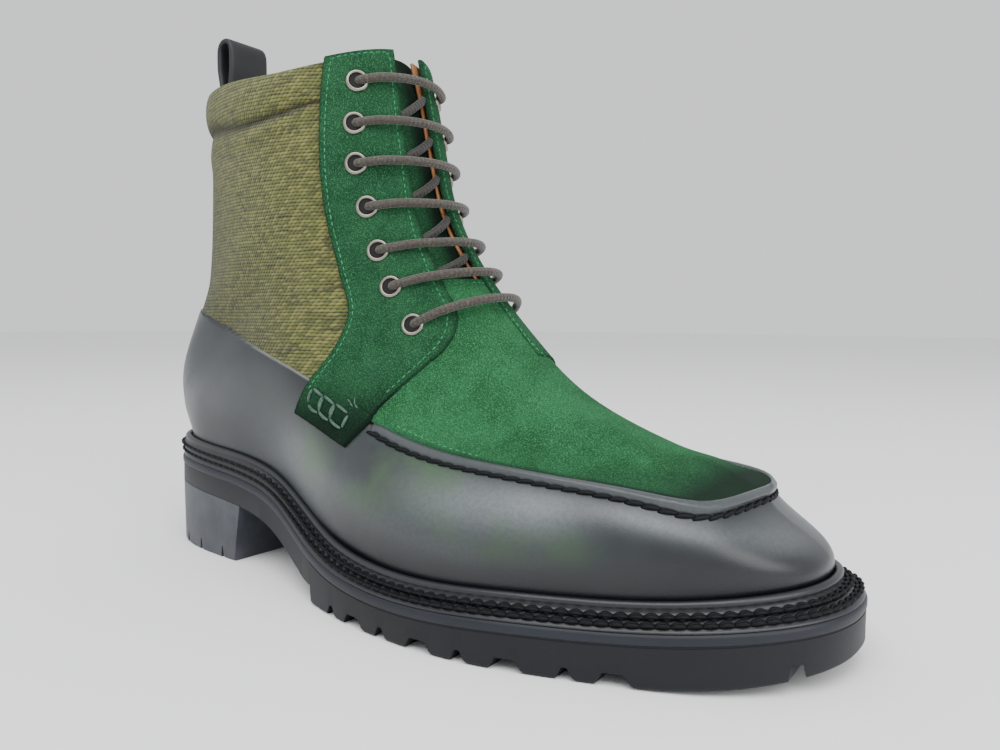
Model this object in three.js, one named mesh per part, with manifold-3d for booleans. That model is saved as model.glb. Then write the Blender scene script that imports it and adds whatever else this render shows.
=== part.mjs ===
// Lace-up boot for the right foot, empty and standing on its sole.
// Millimetres: x to the toe, y to the inner side of the foot, z up from the floor.
import * as THREE from "three";
import { mergeVertices } from "three/addons/utils/BufferGeometryUtils.js";
import Module from "manifold-3d";

const wasm = await Module();
wasm.setup();

// Driving sizes.
const lastLength = 289;
const ballWidth = 97;
const bootHeight = 204;
const soleThickness = 20;
const heelRise = 29;
const wall = 2;
const clearance = 0.3;
const finest = 0.06;

// Sole edge, outwards from the last edge and down through its layers.
const weltReach = 8.4;
const lipWidth = 3.3;
const lipRise = 1.1;
const bandThickness = 3.4;
const treadDepth = 4.6;
const insoleThickness = 3;

// Trim.
const stayThickness = 1.5;
const tongueThickness = 2.6;
const pipingWidthShare = 0.09;
const pipingHeight = 1.6;
const eyeletOuter = 4.5;
const eyeletHole = 2.4;
const eyeletThickness = 0.9;
const laceRadius = 1.65;
const loopWidth = 20;
const loopThickness = 2.4;
const loopHeight = 30;
const loopSpan = 11;
const loopInset = 4.8;
const loopLean = 3.5;

// Last edge: place along the last from the heel, and half width, as shares.
const LAST_EDGE = [
  { along: 1.0, swing: 0.082, half: 0.0 },
  { along: 0.991, swing: 0.077, half: 0.134 },
  { along: 0.958, swing: 0.067, half: 0.258 },
  { along: 0.893, swing: 0.052, half: 0.371 },
  { along: 0.799, swing: 0.026, half: 0.448 },
  { along: 0.696, swing: -0.01, half: 0.5 },
  { along: 0.581, swing: -0.046, half: 0.479 },
  { along: 0.464, swing: -0.062, half: 0.402 },
  { along: 0.339, swing: -0.031, half: 0.314 },
  { along: 0.211, swing: -0.005, half: 0.304 },
  { along: 0.107, swing: 0.0, half: 0.284 },
  { along: 0.042, swing: 0.0, half: 0.216 },
  { along: 0.012, swing: 0.0, half: 0.119 },
  { along: 0.0, swing: 0.0, half: 0.0 },
];

// Height of the last edge over the forefoot, as a share of the heel rise.
const EDGE_RISE = [
  { along: -0.014, rise: 1.0 },
  { along: 0.059, rise: 0.966 },
  { along: 0.145, rise: 0.907 },
  { along: 0.204, rise: 0.862 },
  { along: 0.249, rise: 0.803 },
  { along: 0.298, rise: 0.69 },
  { along: 0.353, rise: 0.483 },
  { along: 0.415, rise: 0.269 },
  { along: 0.474, rise: 0.11 },
  { along: 0.536, rise: 0.021 },
  { along: 0.588, rise: -0.01 },
  { along: 0.657, rise: 0.0 },
  { along: 0.72, rise: 0.028 },
  { along: 0.817, rise: 0.055 },
  { along: 0.92, rise: 0.138 },
  { along: 1.007, rise: 0.241 },
];

// Ribs of the upper, from the toe (v 0) by the heel (v 1) to the collar (v 2).
// Each runs from the ridge over the seam to the edge. Heights are shares above the sole.
const RIBS = [
  { v: 0.0, ridge: 0.841, ridgeUp: 0.207, swing: 0.067, seam: 0.934, seamUp: 0.163, half: 0.0, lean: 8 },
  { v: 0.075, ridge: 0.834, ridgeUp: 0.207, swing: 0.067, seam: 0.91, seamUp: 0.16, half: 0.258, lean: 8 },
  { v: 0.19, ridge: 0.817, ridgeUp: 0.217, swing: 0.057, seam: 0.824, seamUp: 0.171, half: 0.361, lean: 10 },
  { v: 0.34, ridge: 0.709, ridgeUp: 0.293, swing: 0.052, seam: 0.685, seamUp: 0.196, half: 0.412, lean: 16 },
  { v: 0.48, ridge: 0.63, ridgeUp: 0.397, swing: 0.052, seam: 0.54, seamUp: 0.231, half: 0.418, lean: 35 },
  { v: 0.61, ridge: 0.578, ridgeUp: 0.489, swing: 0.041, seam: 0.415, seamUp: 0.326, half: 0.412, lean: 60 },
  { v: 0.75, ridge: 0.54, ridgeUp: 0.571, swing: 0.026, seam: 0.356, seamUp: 0.435, half: 0.387, lean: 80 },
  { v: 0.86, ridge: 0.519, ridgeUp: 0.62, swing: 0.021, seam: 0.332, seamUp: 0.511, half: 0.376, lean: 90 },
  { v: 1.0, ridge: 0.502, ridgeUp: 0.674, swing: 0.01, seam: 0.318, seamUp: 0.587, half: 0.371, lean: 90 },
  { v: 1.3, ridge: 0.484, ridgeUp: 0.772, swing: 0.0, seam: 0.308, seamUp: 0.701, half: 0.376, lean: 90 },
  { v: 1.65, ridge: 0.464, ridgeUp: 0.891, swing: 0.0, seam: 0.298, seamUp: 0.837, half: 0.387, lean: 90 },
  { v: 2.0, ridge: 0.446, ridgeUp: 1.0, swing: 0.0, seam: 0.287, seamUp: 0.954, half: 0.392, lean: 90 },
];

// Line up the back of the heel and the shaft.
const BACK_LINE = [
  { v: 1.0, along: 0.0, up: 0.158 },
  { v: 1.12, along: -0.01, up: 0.25 },
  { v: 1.25, along: 0.009, up: 0.359 },
  { v: 1.35, along: 0.03, up: 0.446 },
  { v: 1.6, along: 0.054, up: 0.652 },
  { v: 1.85, along: 0.061, up: 0.859 },
  { v: 2.0, along: 0.057, up: 0.978 },
];

// Reach of the sole edge, welt depth and drop of the sole's underside along the last.
const SOLE_EDGE = [
  { along: -0.02, reach: 0.42, depth: 8.2 },
  { along: 0.1, reach: 0.5, depth: 8.2 },
  { along: 0.25, reach: 0.62, depth: 8.2 },
  { along: 0.42, reach: 0.84, depth: 6.8 },
  { along: 0.6, reach: 0.9, depth: 6 },
  { along: 0.85, reach: 0.95, depth: 6 },
  { along: 1.0, reach: 1.1, depth: 6 },
];

// Throat opening between the stays: outer and inner limit across, as shares of the ball width.
const THROAT = [
  { v: 0.54, outer: -0.135, inner: 0.03 },
  { v: 0.605, outer: -0.115, inner: 0.03 },
  { v: 0.79, outer: -0.113, inner: 0.033 },
  { v: 1.0, outer: -0.115, inner: 0.031 },
  { v: 1.5, outer: -0.108, inner: 0.036 },
  { v: 2.06, outer: -0.08, inner: 0.064 },
];

// Stay outlines in side view: along the last, and height as a share above the sole.
const STAY_REAR = [
  { along: 0.39, up: 1.1 },
  { along: 0.389, up: 0.962 },
  { along: 0.388, up: 0.81 },
  { along: 0.39, up: 0.731 },
  { along: 0.395, up: 0.66 },
  { along: 0.404, up: 0.598 },
  { along: 0.416, up: 0.538 },
  { along: 0.429, up: 0.487 },
  { along: 0.434, up: 0.451 },
  { along: 0.42, up: 0.386 },
  { along: 0.383, up: 0.307 },
  { along: 0.362, up: 0.253 },
];
const STAY_FRONT_OUTER = [
  { along: 0.474, up: 0.2 },
  { along: 0.496, up: 0.241 },
  { along: 0.498, up: 0.268 },
  { along: 0.518, up: 0.31 },
  { along: 0.547, up: 0.36 },
  { along: 0.568, up: 0.386 },
  { along: 0.59, up: 0.43 },
  { along: 0.7, up: 0.5 },
  { along: 0.7, up: 1.1 },
];
const STAY_FRONT_INNER = [
  { along: 0.474, up: 0.2 },
  { along: 0.496, up: 0.241 },
  { along: 0.5, up: 0.262 },
  { along: 0.545, up: 0.29 },
  { along: 0.62, up: 0.325 },
  { along: 0.655, up: 0.345 },
  { along: 0.665, up: 0.37 },
  { along: 0.7, up: 0.5 },
  { along: 0.7, up: 1.1 },
];

// Eyelets: rib, and place across the rib on the outer and the inner side.
const EYELETS = [
  { v: 1.793, outer: 0.2, inner: 0.14 },
  { v: 1.514, outer: 0.227, inner: 0.155 },
  { v: 1.272, outer: 0.24, inner: 0.17 },
  { v: 1.003, outer: 0.235, inner: 0.165 },
  { v: 0.792, outer: 0.233, inner: 0.165 },
  { v: 0.675, outer: 0.242, inner: 0.17 },
  { v: 0.59, outer: 0.259, inner: 0.19 },
];

// Notches of the tread edge and of the heel's lower edge.
const TREAD_NOTCHES = [
  { along: 0.488, mouth: 6, root: 1.5, inwards: 10 },
  { along: 0.533, mouth: 11, root: 6, inwards: 70 },
  { along: 0.581, mouth: 6, root: 1.5, inwards: 10 },
  { along: 0.637, mouth: 11, root: 6, inwards: 70 },
  { along: 0.688, mouth: 6, root: 1.5, inwards: 10 },
  { along: 0.74, mouth: 11, root: 6, inwards: 70 },
  { along: 0.799, mouth: 6, root: 1.5, inwards: 10 },
  { along: 0.845, mouth: 11, root: 6, inwards: 70 },
  { along: 0.995, mouth: 3.5, root: 2.5, inwards: 70 },
];
const HEEL_NOTCHES = [
  { along: 0.026 },
  { along: 0.068 },
  { along: 0.118 },
  { along: 0.18 },
];

const heelBreast = 0.228;
const heelBreastSlant = 5;
const firstLug = 0.436;
const toeSpring = 7.7;
const toeSpringStart = 0.82;

// Grid of the upper: ribs, and places across a rib.
const RIB_PLACES = [
  0, 0.02, 0.045, 0.075, 0.11, 0.15, 0.195, 0.245, 0.3, 0.355, 0.41, 0.46, 0.505, 0.55,
  0.59, 0.63, 0.67, 0.72, 0.775, 0.825, 0.87, 0.91, 0.945, 0.972, 1, 1.04, 1.1, 1.18,
  1.27, 1.38, 1.5, 1.62, 1.73, 1.81, 1.84, 1.88, 1.92, 1.96, 2,
];
const ACROSS_PLACES = [0, 0.09, 0.18, 0.27, 0.36, 0.43, 0.5, 0.57, 0.66, 0.77, 0.88, 1];

const OUTER = -1;
const INNER = 1;
const alongX = (share) => share * lastLength - lastLength / 2;
const upZ = (share) => soleThickness + share * (bootHeight - soleThickness);
const V = (x, y, z) => new THREE.Vector3(x, y, z);

function smooth(from, to, x) {
  const t = Math.min(1, Math.max(0, (x - from) / (to - from)));
  return t * t * (3 - 2 * t);
}

// Natural cubic spline through rows of values.
function spline(places, rows) {
  const n = places.length;
  const width = rows[0].length;
  const bend = rows.map(() => new Array(width).fill(0));
  const gap = places.slice(1).map((x, i) => x - places[i]);
  for (let c = 0; c < width; c++) {
    const scale = new Array(n).fill(0);
    const right = new Array(n).fill(0);
    for (let i = 1; i < n - 1; i++) {
      const slope = (rows[i + 1][c] - rows[i][c]) / gap[i] - (rows[i][c] - rows[i - 1][c]) / gap[i - 1];
      const pivot = 2 * (gap[i - 1] + gap[i]) - gap[i - 1] * scale[i - 1];
      scale[i] = gap[i] / pivot;
      right[i] = (6 * slope - gap[i - 1] * right[i - 1]) / pivot;
    }
    for (let i = n - 2; i > 0; i--) bend[i][c] = right[i] - scale[i] * bend[i + 1][c];
  }
  return (x) => {
    let k = 0;
    while (k < n - 2 && x >= places[k + 1]) k++;
    const h = gap[k];
    const t = x - places[k];
    const r = h - t;
    return rows[k].map((_, c) => {
      const curved = (bend[k][c] * r ** 3 + bend[k + 1][c] * t ** 3) / (6 * h);
      const start = (rows[k][c] / h - (bend[k][c] * h) / 6) * r;
      const end = (rows[k + 1][c] / h - (bend[k + 1][c] * h) / 6) * t;
      return curved + start + end;
    });
  };
}

// Straight lines between rows of one column.
function table(rows, at, column) {
  return (x) => {
    let k = 0;
    while (k < rows.length - 2 && x >= rows[k + 1][at]) k++;
    const a = rows[k];
    const b = rows[k + 1];
    const t = Math.min(1, Math.max(0, (x - a[at]) / (b[at] - a[at])));
    return a[column] + (b[column] - a[column]) * t;
  };
}

const edgeRise = spline(EDGE_RISE.map((r) => r.along), EDGE_RISE.map((r) => [r.rise]));
const edgeHeight = (x) => soleThickness + heelRise * edgeRise(x / lastLength + 0.5)[0];
const ribAt = spline(
  RIBS.map((r) => r.v),
  RIBS.map((r) => [r.ridge, r.ridgeUp, r.swing, r.seam, r.seamUp, r.half, r.lean]),
);
const backAt = spline(BACK_LINE.map((r) => r.v), BACK_LINE.map((r) => [r.along, r.up]));

// Last edge of one side as a curve from the toe (s 0) to the heel (s 1).
function edgeCurve(side) {
  const on = (r, s) => [alongX(r.along), ballWidth * (r.swing + s * r.half)];
  const own = LAST_EDGE.map((r) => on(r, side));
  const other = LAST_EDGE.map((r) => on(r, -side));
  const n = own.length;
  const points = [other[3], other[2], other[1], ...own, other[n - 2], other[n - 3], other[n - 4]];
  const lengths = [0];
  for (let i = 1; i < points.length; i++) {
    const step = Math.hypot(points[i][0] - points[i - 1][0], points[i][1] - points[i - 1][1]);
    lengths.push(lengths[i - 1] + step);
  }
  const curve = spline(lengths, points);
  const start = lengths[3];
  const end = lengths[lengths.length - 4];
  return (s) => curve(start + (end - start) * s);
}
const edgeCurves = { [OUTER]: edgeCurve(OUTER), [INNER]: edgeCurve(INNER) };

function edgePoint(side, s) {
  const [x, y] = edgeCurves[side](s);
  return V(x, y, edgeHeight(x));
}

function edgeOutwards(side, s) {
  const ds = 1e-3;
  const d = edgePoint(side, Math.min(1, s + ds)).sub(edgePoint(side, Math.max(0, s - ds)));
  if (s === 0 || s === 1) return V(s === 0 ? 1 : -1, 0, 0);
  return V(d.y, -d.x, 0).multiplyScalar(side).normalize();
}

function bezier(a, b, c, d, t) {
  const r = 1 - t;
  return V(0, 0, 0)
    .addScaledVector(a, r * r * r)
    .addScaledVector(b, 3 * r * r * t)
    .addScaledVector(c, 3 * r * t * t)
    .addScaledVector(d, t * t * t);
}

// Point of the outside of the upper: side, place across the rib (0 ridge, 0.5 seam, 1 edge), rib.
function upperPoint(side, u, v) {
  const [ridge, ridgeUp, swing, seamAlong, seamUp, half, lean] = ribAt(v);
  const middle = swing * ballWidth;
  const reach = half * ballWidth;
  const top = V(alongX(ridge), middle, upZ(ridgeUp));
  const seam = V(alongX(seamAlong), middle + side * reach, upZ(seamUp));
  const edge = V(0, 0, 0);
  let out = V(-1, 0, 0);
  if (v <= 1) {
    edge.copy(edgePoint(side, v));
    out = edgeOutwards(side, v);
  } else {
    const [along, up] = backAt(v);
    edge.set(alongX(along), 0, upZ(up));
  }
  const shaft = smooth(0.55, 1, v);
  const rise = seam.z - edge.z;
  const flat = V(top.x - seam.x, top.y - seam.y, 0);
  if (u <= 0.5) {
    const crown = top.clone();
    if (v < 0.19) crown.addScaledVector(flat, -0.5);
    else crown.y += side * 0.55 * reach;
    const tilt = THREE.MathUtils.degToRad(lean);
    const inwards = flat.clone().normalize().multiplyScalar(Math.cos(tilt));
    inwards.z = Math.sin(tilt);
    const foot = seam.clone().addScaledVector(inwards, 0.4 * seam.distanceTo(top));
    const down = V(edge.x - seam.x, 0, edge.z - seam.z).normalize();
    const over = Math.hypot(top.x - seam.x, top.z - seam.z);
    const ankle = seam.clone().addScaledVector(down, -0.55 * over);
    return bezier(top, crown, foot.lerp(ankle, shaft), seam, 2 * u);
  }
  const spread = Math.hypot(seam.x - edge.x, seam.y - edge.y);
  const keen = 1 - smooth(0.04, 0.24, v);
  const foot = seam.clone().addScaledVector(out, (0.5 - 0.38 * keen) * spread);
  foot.z -= (0.08 + 0.34 * keen) * rise;
  const full = smooth(0.8, 1, v) * (1 - smooth(1.05, 1.4, v));
  const ankle = seam.clone().lerp(V(edge.x, seam.y, edge.z), 0.5 + 0.14 * full);
  const low = edge.clone().addScaledVector(out, 3);
  low.z += (0.6 - 0.12 * keen) * rise;
  const turn = smooth(0.84, 1.22, v);
  const round = edge.clone().addScaledVector(out, 4 * (1 - turn));
  const swell = (0.46 + 0.34 * full) * reach * smooth(0.78, 1, v);
  round.y = side * Math.hypot(side * edge.y, swell);
  round.z += 0.3 * rise * (1 - turn);
  return bezier(seam, foot.lerp(ankle, shaft), low.lerp(round, shaft), edge, 2 * u - 1);
}

// The same, carried across the ridge, the toe line and the back line to the other side.
function carriedPoint(side, u, v) {
  let s = side;
  let across = u;
  let along = v;
  if (across < 0) {
    s = -s;
    across = -across;
  }
  if (along < 0) {
    s = -s;
    along = -along;
  }
  if (across > 1 && along >= 1) {
    s = -s;
    across = 2 - across;
  }
  return upperPoint(s, Math.min(1, across), along);
}

function rawNormal(side, u, v) {
  const e = 2e-3;
  const du = carriedPoint(side, u + e, v).sub(carriedPoint(side, u - e, v));
  const dv = carriedPoint(side, u, v + e).sub(carriedPoint(side, u, v - e));
  return du.cross(dv).multiplyScalar(side).normalize();
}

function upperNormal(side, u, v) {
  if (u === 0) return rawNormal(OUTER, 0.03, v).add(rawNormal(INNER, 0.03, v)).normalize();
  if (v === 0 || (u === 1 && v >= 1)) {
    const n = rawNormal(OUTER, Math.min(u, 0.999), v === 0 ? 1e-3 : v);
    n.add(rawNormal(INNER, Math.min(u, 0.999), v === 0 ? 1e-3 : v));
    return n.normalize();
  }
  return rawNormal(side, u, v);
}

// Padded roll under the collar's rim, behind the stays.
function collarRoll(u, v) {
  if (v < 1.81) return 0;
  const swell = Math.sin(Math.PI * Math.min(1, (v - 1.81) / 0.19)) ** 0.7;
  return 2.2 * swell * smooth(0.35, 0.43, u) * (1 - 0.15 * smooth(0.8, 1, u));
}

function offsetPoint(side, u, v, offset) {
  const own = u === 0 || v === 0 || (u === 1 && v >= 1) ? OUTER : side;
  return upperPoint(own, u, v).addScaledVector(upperNormal(own, u, v), offset);
}

// Solids from triangles.
class Skin {
  constructor() {
    this.points = [];
  }
  triangle(a, b, c) {
    this.points.push(a.x, a.y, a.z, b.x, b.y, b.z, c.x, c.y, c.z);
  }
  quad(a, b, c, d) {
    this.triangle(a, b, c);
    this.triangle(a, c, d);
  }
  solid() {
    const loose = new THREE.BufferGeometry();
    loose.setAttribute("position", new THREE.Float32BufferAttribute(this.points, 3));
    const merged = mergeVertices(loose, 1e-3);
    const index = [];
    for (let i = 0; i < merged.index.count; i += 3) {
      const [a, b, c] = [0, 1, 2].map((k) => merged.index.getX(i + k));
      if (a !== b && b !== c && a !== c) index.push(a, b, c);
    }
    const mesh = new wasm.Mesh({
      numProp: 3,
      vertProperties: merged.attributes.position.array,
      triVerts: new Uint32Array(index),
    });
    const made = new wasm.Manifold(mesh);
    if (made.volume() > 0) return made;
    for (let i = 0; i < index.length; i += 3) [index[i], index[i + 1]] = [index[i + 1], index[i]];
    mesh.triVerts = new Uint32Array(index);
    return new wasm.Manifold(mesh);
  }
}

// Closed body of the upper's own shape, with the open ends carried on by a skirt.
function lastForm(offset, roll, skirtDown, skirtUp) {
  const skin = new Skin();
  const columns = [
    ...ACROSS_PLACES.slice().reverse().map((u) => [OUTER, u]),
    ...ACROSS_PLACES.slice(1).map((u) => [INNER, u]),
  ];
  const rows = RIB_PLACES.map((v) =>
    columns.map(([side, u]) => offsetPoint(side, u, v, offset + (roll ? collarRoll(u, v) : 0))),
  );
  const last = columns.length - 1;
  for (let i = 0; i + 1 < rows.length; i++) {
    for (let j = 0; j < last; j++) {
      skin.quad(rows[i][j], rows[i][j + 1], rows[i + 1][j + 1], rows[i + 1][j]);
    }
  }
  const foot = RIB_PLACES.filter((v) => v <= 1).length;
  const lowered = (p) => V(p.x, p.y, p.z - skirtDown);
  for (let i = 0; i + 1 < foot; i++) {
    const [a, b] = [rows[i][0], rows[i + 1][0]];
    const [c, d] = [rows[i][last], rows[i + 1][last]];
    if (skirtDown > 0) {
      skin.quad(b, lowered(b), lowered(a), a);
      skin.quad(c, lowered(c), lowered(d), d);
    }
    skin.quad(lowered(a), lowered(b), lowered(d), lowered(c));
  }
  const rim = rows[rows.length - 1];
  const raised = rim.map((p) => V(p.x, p.y, p.z + skirtUp));
  if (skirtUp > 0) {
    for (let j = 0; j < last; j++) skin.quad(rim[j], rim[j + 1], raised[j + 1], raised[j]);
  }
  for (let j = 0; 2 * j < last; j++) {
    skin.quad(raised[j], raised[j + 1], raised[last - j - 1], raised[last - j]);
  }
  return skin.solid();
}

// Shell between two grids of points.
function shell(high, low) {
  const skin = new Skin();
  const rows = high.length;
  const columns = high[0].length;
  for (let i = 0; i + 1 < rows; i++) {
    for (let j = 0; j + 1 < columns; j++) {
      skin.quad(high[i][j], high[i][j + 1], high[i + 1][j + 1], high[i + 1][j]);
      skin.quad(low[i][j], low[i + 1][j], low[i + 1][j + 1], low[i][j + 1]);
    }
  }
  for (let i = 0; i + 1 < rows; i++) {
    const e = columns - 1;
    skin.quad(high[i][0], high[i + 1][0], low[i + 1][0], low[i][0]);
    skin.quad(high[i][e], low[i][e], low[i + 1][e], high[i + 1][e]);
  }
  for (let j = 0; j + 1 < columns; j++) {
    const e = rows - 1;
    skin.quad(high[0][j], low[0][j], low[0][j + 1], high[0][j + 1]);
    skin.quad(high[e][j], high[e][j + 1], low[e][j + 1], low[e][j]);
  }
  return skin.solid();
}

// Part of the upper's shape as a shell: ribs, signed places across (minus is the outer side).
function surfaceShell(ribs, across, from, to) {
  const grid = (offset) =>
    ribs.map((v) => across.map((u) => offsetPoint(u < 0 ? OUTER : INNER, Math.abs(u), v, offset)));
  return shell(grid(to), grid(from));
}

// Prism from a closed outline in side view, between two places across.
function sidePrism(outline, y0, y1) {
  const shape = new THREE.Shape(outline.map(([x, z]) => new THREE.Vector2(x, z)));
  const geometry = new THREE.ExtrudeGeometry(shape, { depth: y1 - y0, bevelEnabled: false });
  geometry.rotateX(Math.PI / 2);
  geometry.translate(0, y1, 0);
  return fromGeometry(geometry);
}

function fromGeometry(geometry) {
  const skin = new Skin();
  const flat = geometry.index ? geometry.toNonIndexed() : geometry;
  skin.points = Array.from(flat.attributes.position.array);
  return skin.solid();
}

// Slot along the ridge, wide enough for the throat and cut right through.
function throatSlot(from, extra) {
  const outer = table(THROAT, "v", "outer");
  const inner = table(THROAT, "v", "inner");
  const places = [from, ...RIB_PLACES.filter((v) => v > from + 0.01), 2.12];
  const sections = places.map((v) => {
    const p = upperPoint(OUTER, 0, v);
    const q = upperPoint(OUTER, 0, v + 0.01);
    const normal = V(q.z - p.z, 0, -(q.x - p.x)).normalize();
    const y0 = outer(v) * ballWidth - extra;
    const y1 = inner(v) * ballWidth + extra;
    const high = p.clone().addScaledVector(normal, 14);
    const low = p.clone().addScaledVector(normal, -12);
    return [V(high.x, y0, high.z), V(high.x, y1, high.z), V(low.x, y1, low.z), V(low.x, y0, low.z)];
  });
  const skin = new Skin();
  for (let i = 0; i + 1 < sections.length; i++) {
    for (let k = 0; k < 4; k++) {
      const m = (k + 1) % 4;
      skin.quad(sections[i][k], sections[i][m], sections[i + 1][m], sections[i + 1][k]);
    }
  }
  skin.quad(...sections[0].slice().reverse());
  skin.quad(...sections[sections.length - 1]);
  return skin.solid();
}

// Loop round the sole: outer side from toe to heel, then inner side back.
const EDGE_PLACES = RIB_PLACES.filter((v) => v <= 1);
function soleLoop(place) {
  const one = (side) => EDGE_PLACES.map((s) => {
    const own = s === 0 || s === 1 ? OUTER : side;
    const p = edgePoint(own, s);
    const { out, z } = place(p);
    return p.addScaledVector(edgeOutwards(own, s), out).setZ(z);
  });
  const outer = one(OUTER);
  const inner = one(INNER);
  return [outer, inner];
}

// Solid from loops stacked from the bottom to the top, capped by strips across.
function stacked(loops) {
  const skin = new Skin();
  const n = EDGE_PLACES.length;
  for (let k = 0; k + 1 < loops.length; k++) {
    for (let i = 0; i + 1 < n; i++) {
      const [a, b] = [loops[k][0], loops[k + 1][0]];
      const [c, d] = [loops[k][1], loops[k + 1][1]];
      skin.quad(a[i + 1], a[i], b[i], b[i + 1]);
      skin.quad(c[i], c[i + 1], d[i + 1], d[i]);
    }
  }
  const [low, high] = [loops[0], loops[loops.length - 1]];
  for (let i = 0; i + 1 < n; i++) {
    skin.quad(low[0][i], low[0][i + 1], low[1][i + 1], low[1][i]);
    skin.quad(high[0][i], high[1][i], high[1][i + 1], high[0][i + 1]);
  }
  return skin.solid();
}

const reachShare = table(SOLE_EDGE, "along", "reach");
const weltDepthAt = table(SOLE_EDGE, "along", "depth");
const reachAt = (x) => weltReach * reachShare(x / lastLength + 0.5);
const depthAt = (x) => weltDepthAt(x / lastLength + 0.5);
const spring = (x) =>
  toeSpring * Math.max(0, (x - alongX(toeSpringStart)) / (lastLength * 0.208)) ** 2.4;

function weltSolid() {
  const ring = (out, drop) => soleLoop((p) => ({ out: out(p.x), z: p.z - drop(p.x) }));
  const shelf = (x) => Math.max(lipWidth + 0.4, lipWidth + 0.25 * (reachAt(x) - lipWidth));
  return stacked([
    ring((x) => reachAt(x), (x) => depthAt(x)),
    ring((x) => reachAt(x), (x) => depthAt(x) - 0.9),
    ring((x) => shelf(x), () => 2.4),
    ring(() => lipWidth, () => 0.4),
    ring(() => lipWidth - 0.9, () => -lipRise),
    ring(() => 1.4, () => -lipRise),
    ring(() => 0.7, () => -0.1),
    ring(() => 0.1, () => clearance),
  ]);
}

function midsoleSolid() {
  const at = (out, drop) =>
    soleLoop((p) => ({ out: reachAt(p.x) + out, z: p.z - depthAt(p.x) - drop }));
  return stacked([at(0.5, bandThickness), at(0.2, clearance)]);
}

function undersideAt(x) {
  const share = x / lastLength + 0.5;
  const forefoot = smooth(firstLug - 0.02, firstLug + 0.06, share);
  return edgeHeight(x) - soleThickness + treadDepth * forefoot;
}

function notch(row, z, depth, side) {
  const x = alongX(row.along);
  const mouth = row.mouth / 2;
  const root = row.root / 2;
  const outline = [
    [x - mouth - 0.6, z - 2],
    [x + mouth + 0.6, z - 2],
    [x + mouth, z],
    [x + root, z + depth],
    [x - root, z + depth],
    [x - mouth, z],
  ];
  const far = side * 90;
  const places = EDGE_PLACES.map((s) => edgePoint(side, s));
  let width = 0;
  for (const p of places) if (Math.abs(p.x - x) < 12) width = Math.max(width, side * p.y);
  const near = side * Math.max(-1, width + reachAt(x) - row.inwards);
  return sidePrism(outline, Math.min(near, far), Math.max(near, far));
}

function outsoleSolid() {
  const top = (p) => p.z - depthAt(p.x) - bandThickness - clearance;
  const layer = stacked([
    soleLoop((p) => ({ out: reachAt(p.x) + 0.4, z: undersideAt(p.x) })),
    soleLoop((p) => ({ out: reachAt(p.x) + 0.3, z: top(p) })),
  ]);
  const lugs = stacked([
    soleLoop((p) => ({ out: reachAt(p.x) - 0.6, z: spring(p.x + 4) })),
    soleLoop((p) => ({ out: reachAt(p.x) + 0.4, z: spring(p.x + 4) + 1.2 })),
    soleLoop((p) => ({ out: reachAt(p.x) + 0.4, z: top(p) - 0.5 })),
  ]).trimByPlane([1, 0, 0.12], alongX(firstLug));
  let made = layer.add(lugs);
  for (const row of TREAD_NOTCHES) {
    for (const side of [OUTER, INNER]) {
      made = made.subtract(notch(row, spring(alongX(row.along)), treadDepth - 0.6, side));
    }
  }
  return made;
}

function heelSolid() {
  const block = stacked([
    soleLoop((p) => ({ out: reachAt(p.x) - 0.9, z: 0 })),
    soleLoop((p) => ({ out: reachAt(p.x) - 0.1, z: 1 })),
    soleLoop((p) => ({ out: reachAt(p.x) + 0.3, z: undersideAt(p.x) - clearance })),
  ]);
  const breast = alongX(heelBreast) - heelBreastSlant;
  let made = block.trimByPlane([-1, 0, heelBreastSlant / 26], -breast);
  for (const row of HEEL_NOTCHES) {
    for (const side of [OUTER, INNER]) {
      made = made.subtract(notch({ along: row.along, mouth: 2.2, root: 0.6, inwards: 9 }, 0, 5, side));
    }
  }
  return made;
}

function insoleSolid() {
  const inset = -(wall + clearance + 0.4);
  return stacked([
    soleLoop((p) => ({ out: inset, z: p.z })),
    soleLoop((p) => ({ out: inset - 0.6, z: p.z + insoleThickness })),
  ]);
}

const outerForm = lastForm(0, true, 0, 0);
const innerForm = lastForm(-wall, false, 12, 12);
const tongueEnd = 0.63;

function upperSolid() {
  const made = outerForm.subtract(innerForm).subtract(throatSlot(tongueEnd, 0.8));
  return made;
}

function staySolid(side) {
  const ribs = [...RIB_PLACES.filter((v) => v > 0.44), 2.05];
  const own = ACROSS_PLACES.filter((u) => u < 0.9).map((u) => side * u);
  const beyond = [0.18, 0.09].map((u) => -side * u);
  const across = [...beyond, ...own];
  if (side < 0) across.reverse();
  const whole = surfaceShell(ribs, across, clearance, clearance + stayThickness);
  const front = side < 0 ? STAY_FRONT_OUTER : STAY_FRONT_INNER;
  const outline = [...STAY_REAR, ...front].map((r) => [alongX(r.along), upZ(r.up)]);
  const [from, to] = side < 0 ? [-90, -0.05 * ballWidth] : [0.02 * ballWidth, 90];
  const pattern = sidePrism(outline, from, to);
  return whole.intersect(pattern).subtract(throatSlot(0.5, 0));
}

function tongueSolid() {
  const ribs = [...RIB_PLACES.filter((v, i) => v > 0.5 && i % 2 === 1), 2.03];
  const across = [-0.36, -0.27, -0.18, -0.09, 0, 0.09, 0.18, 0.27];
  const high = -(wall + clearance + 0.1);
  return surfaceShell(ribs, across, high - tongueThickness, high);
}

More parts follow.
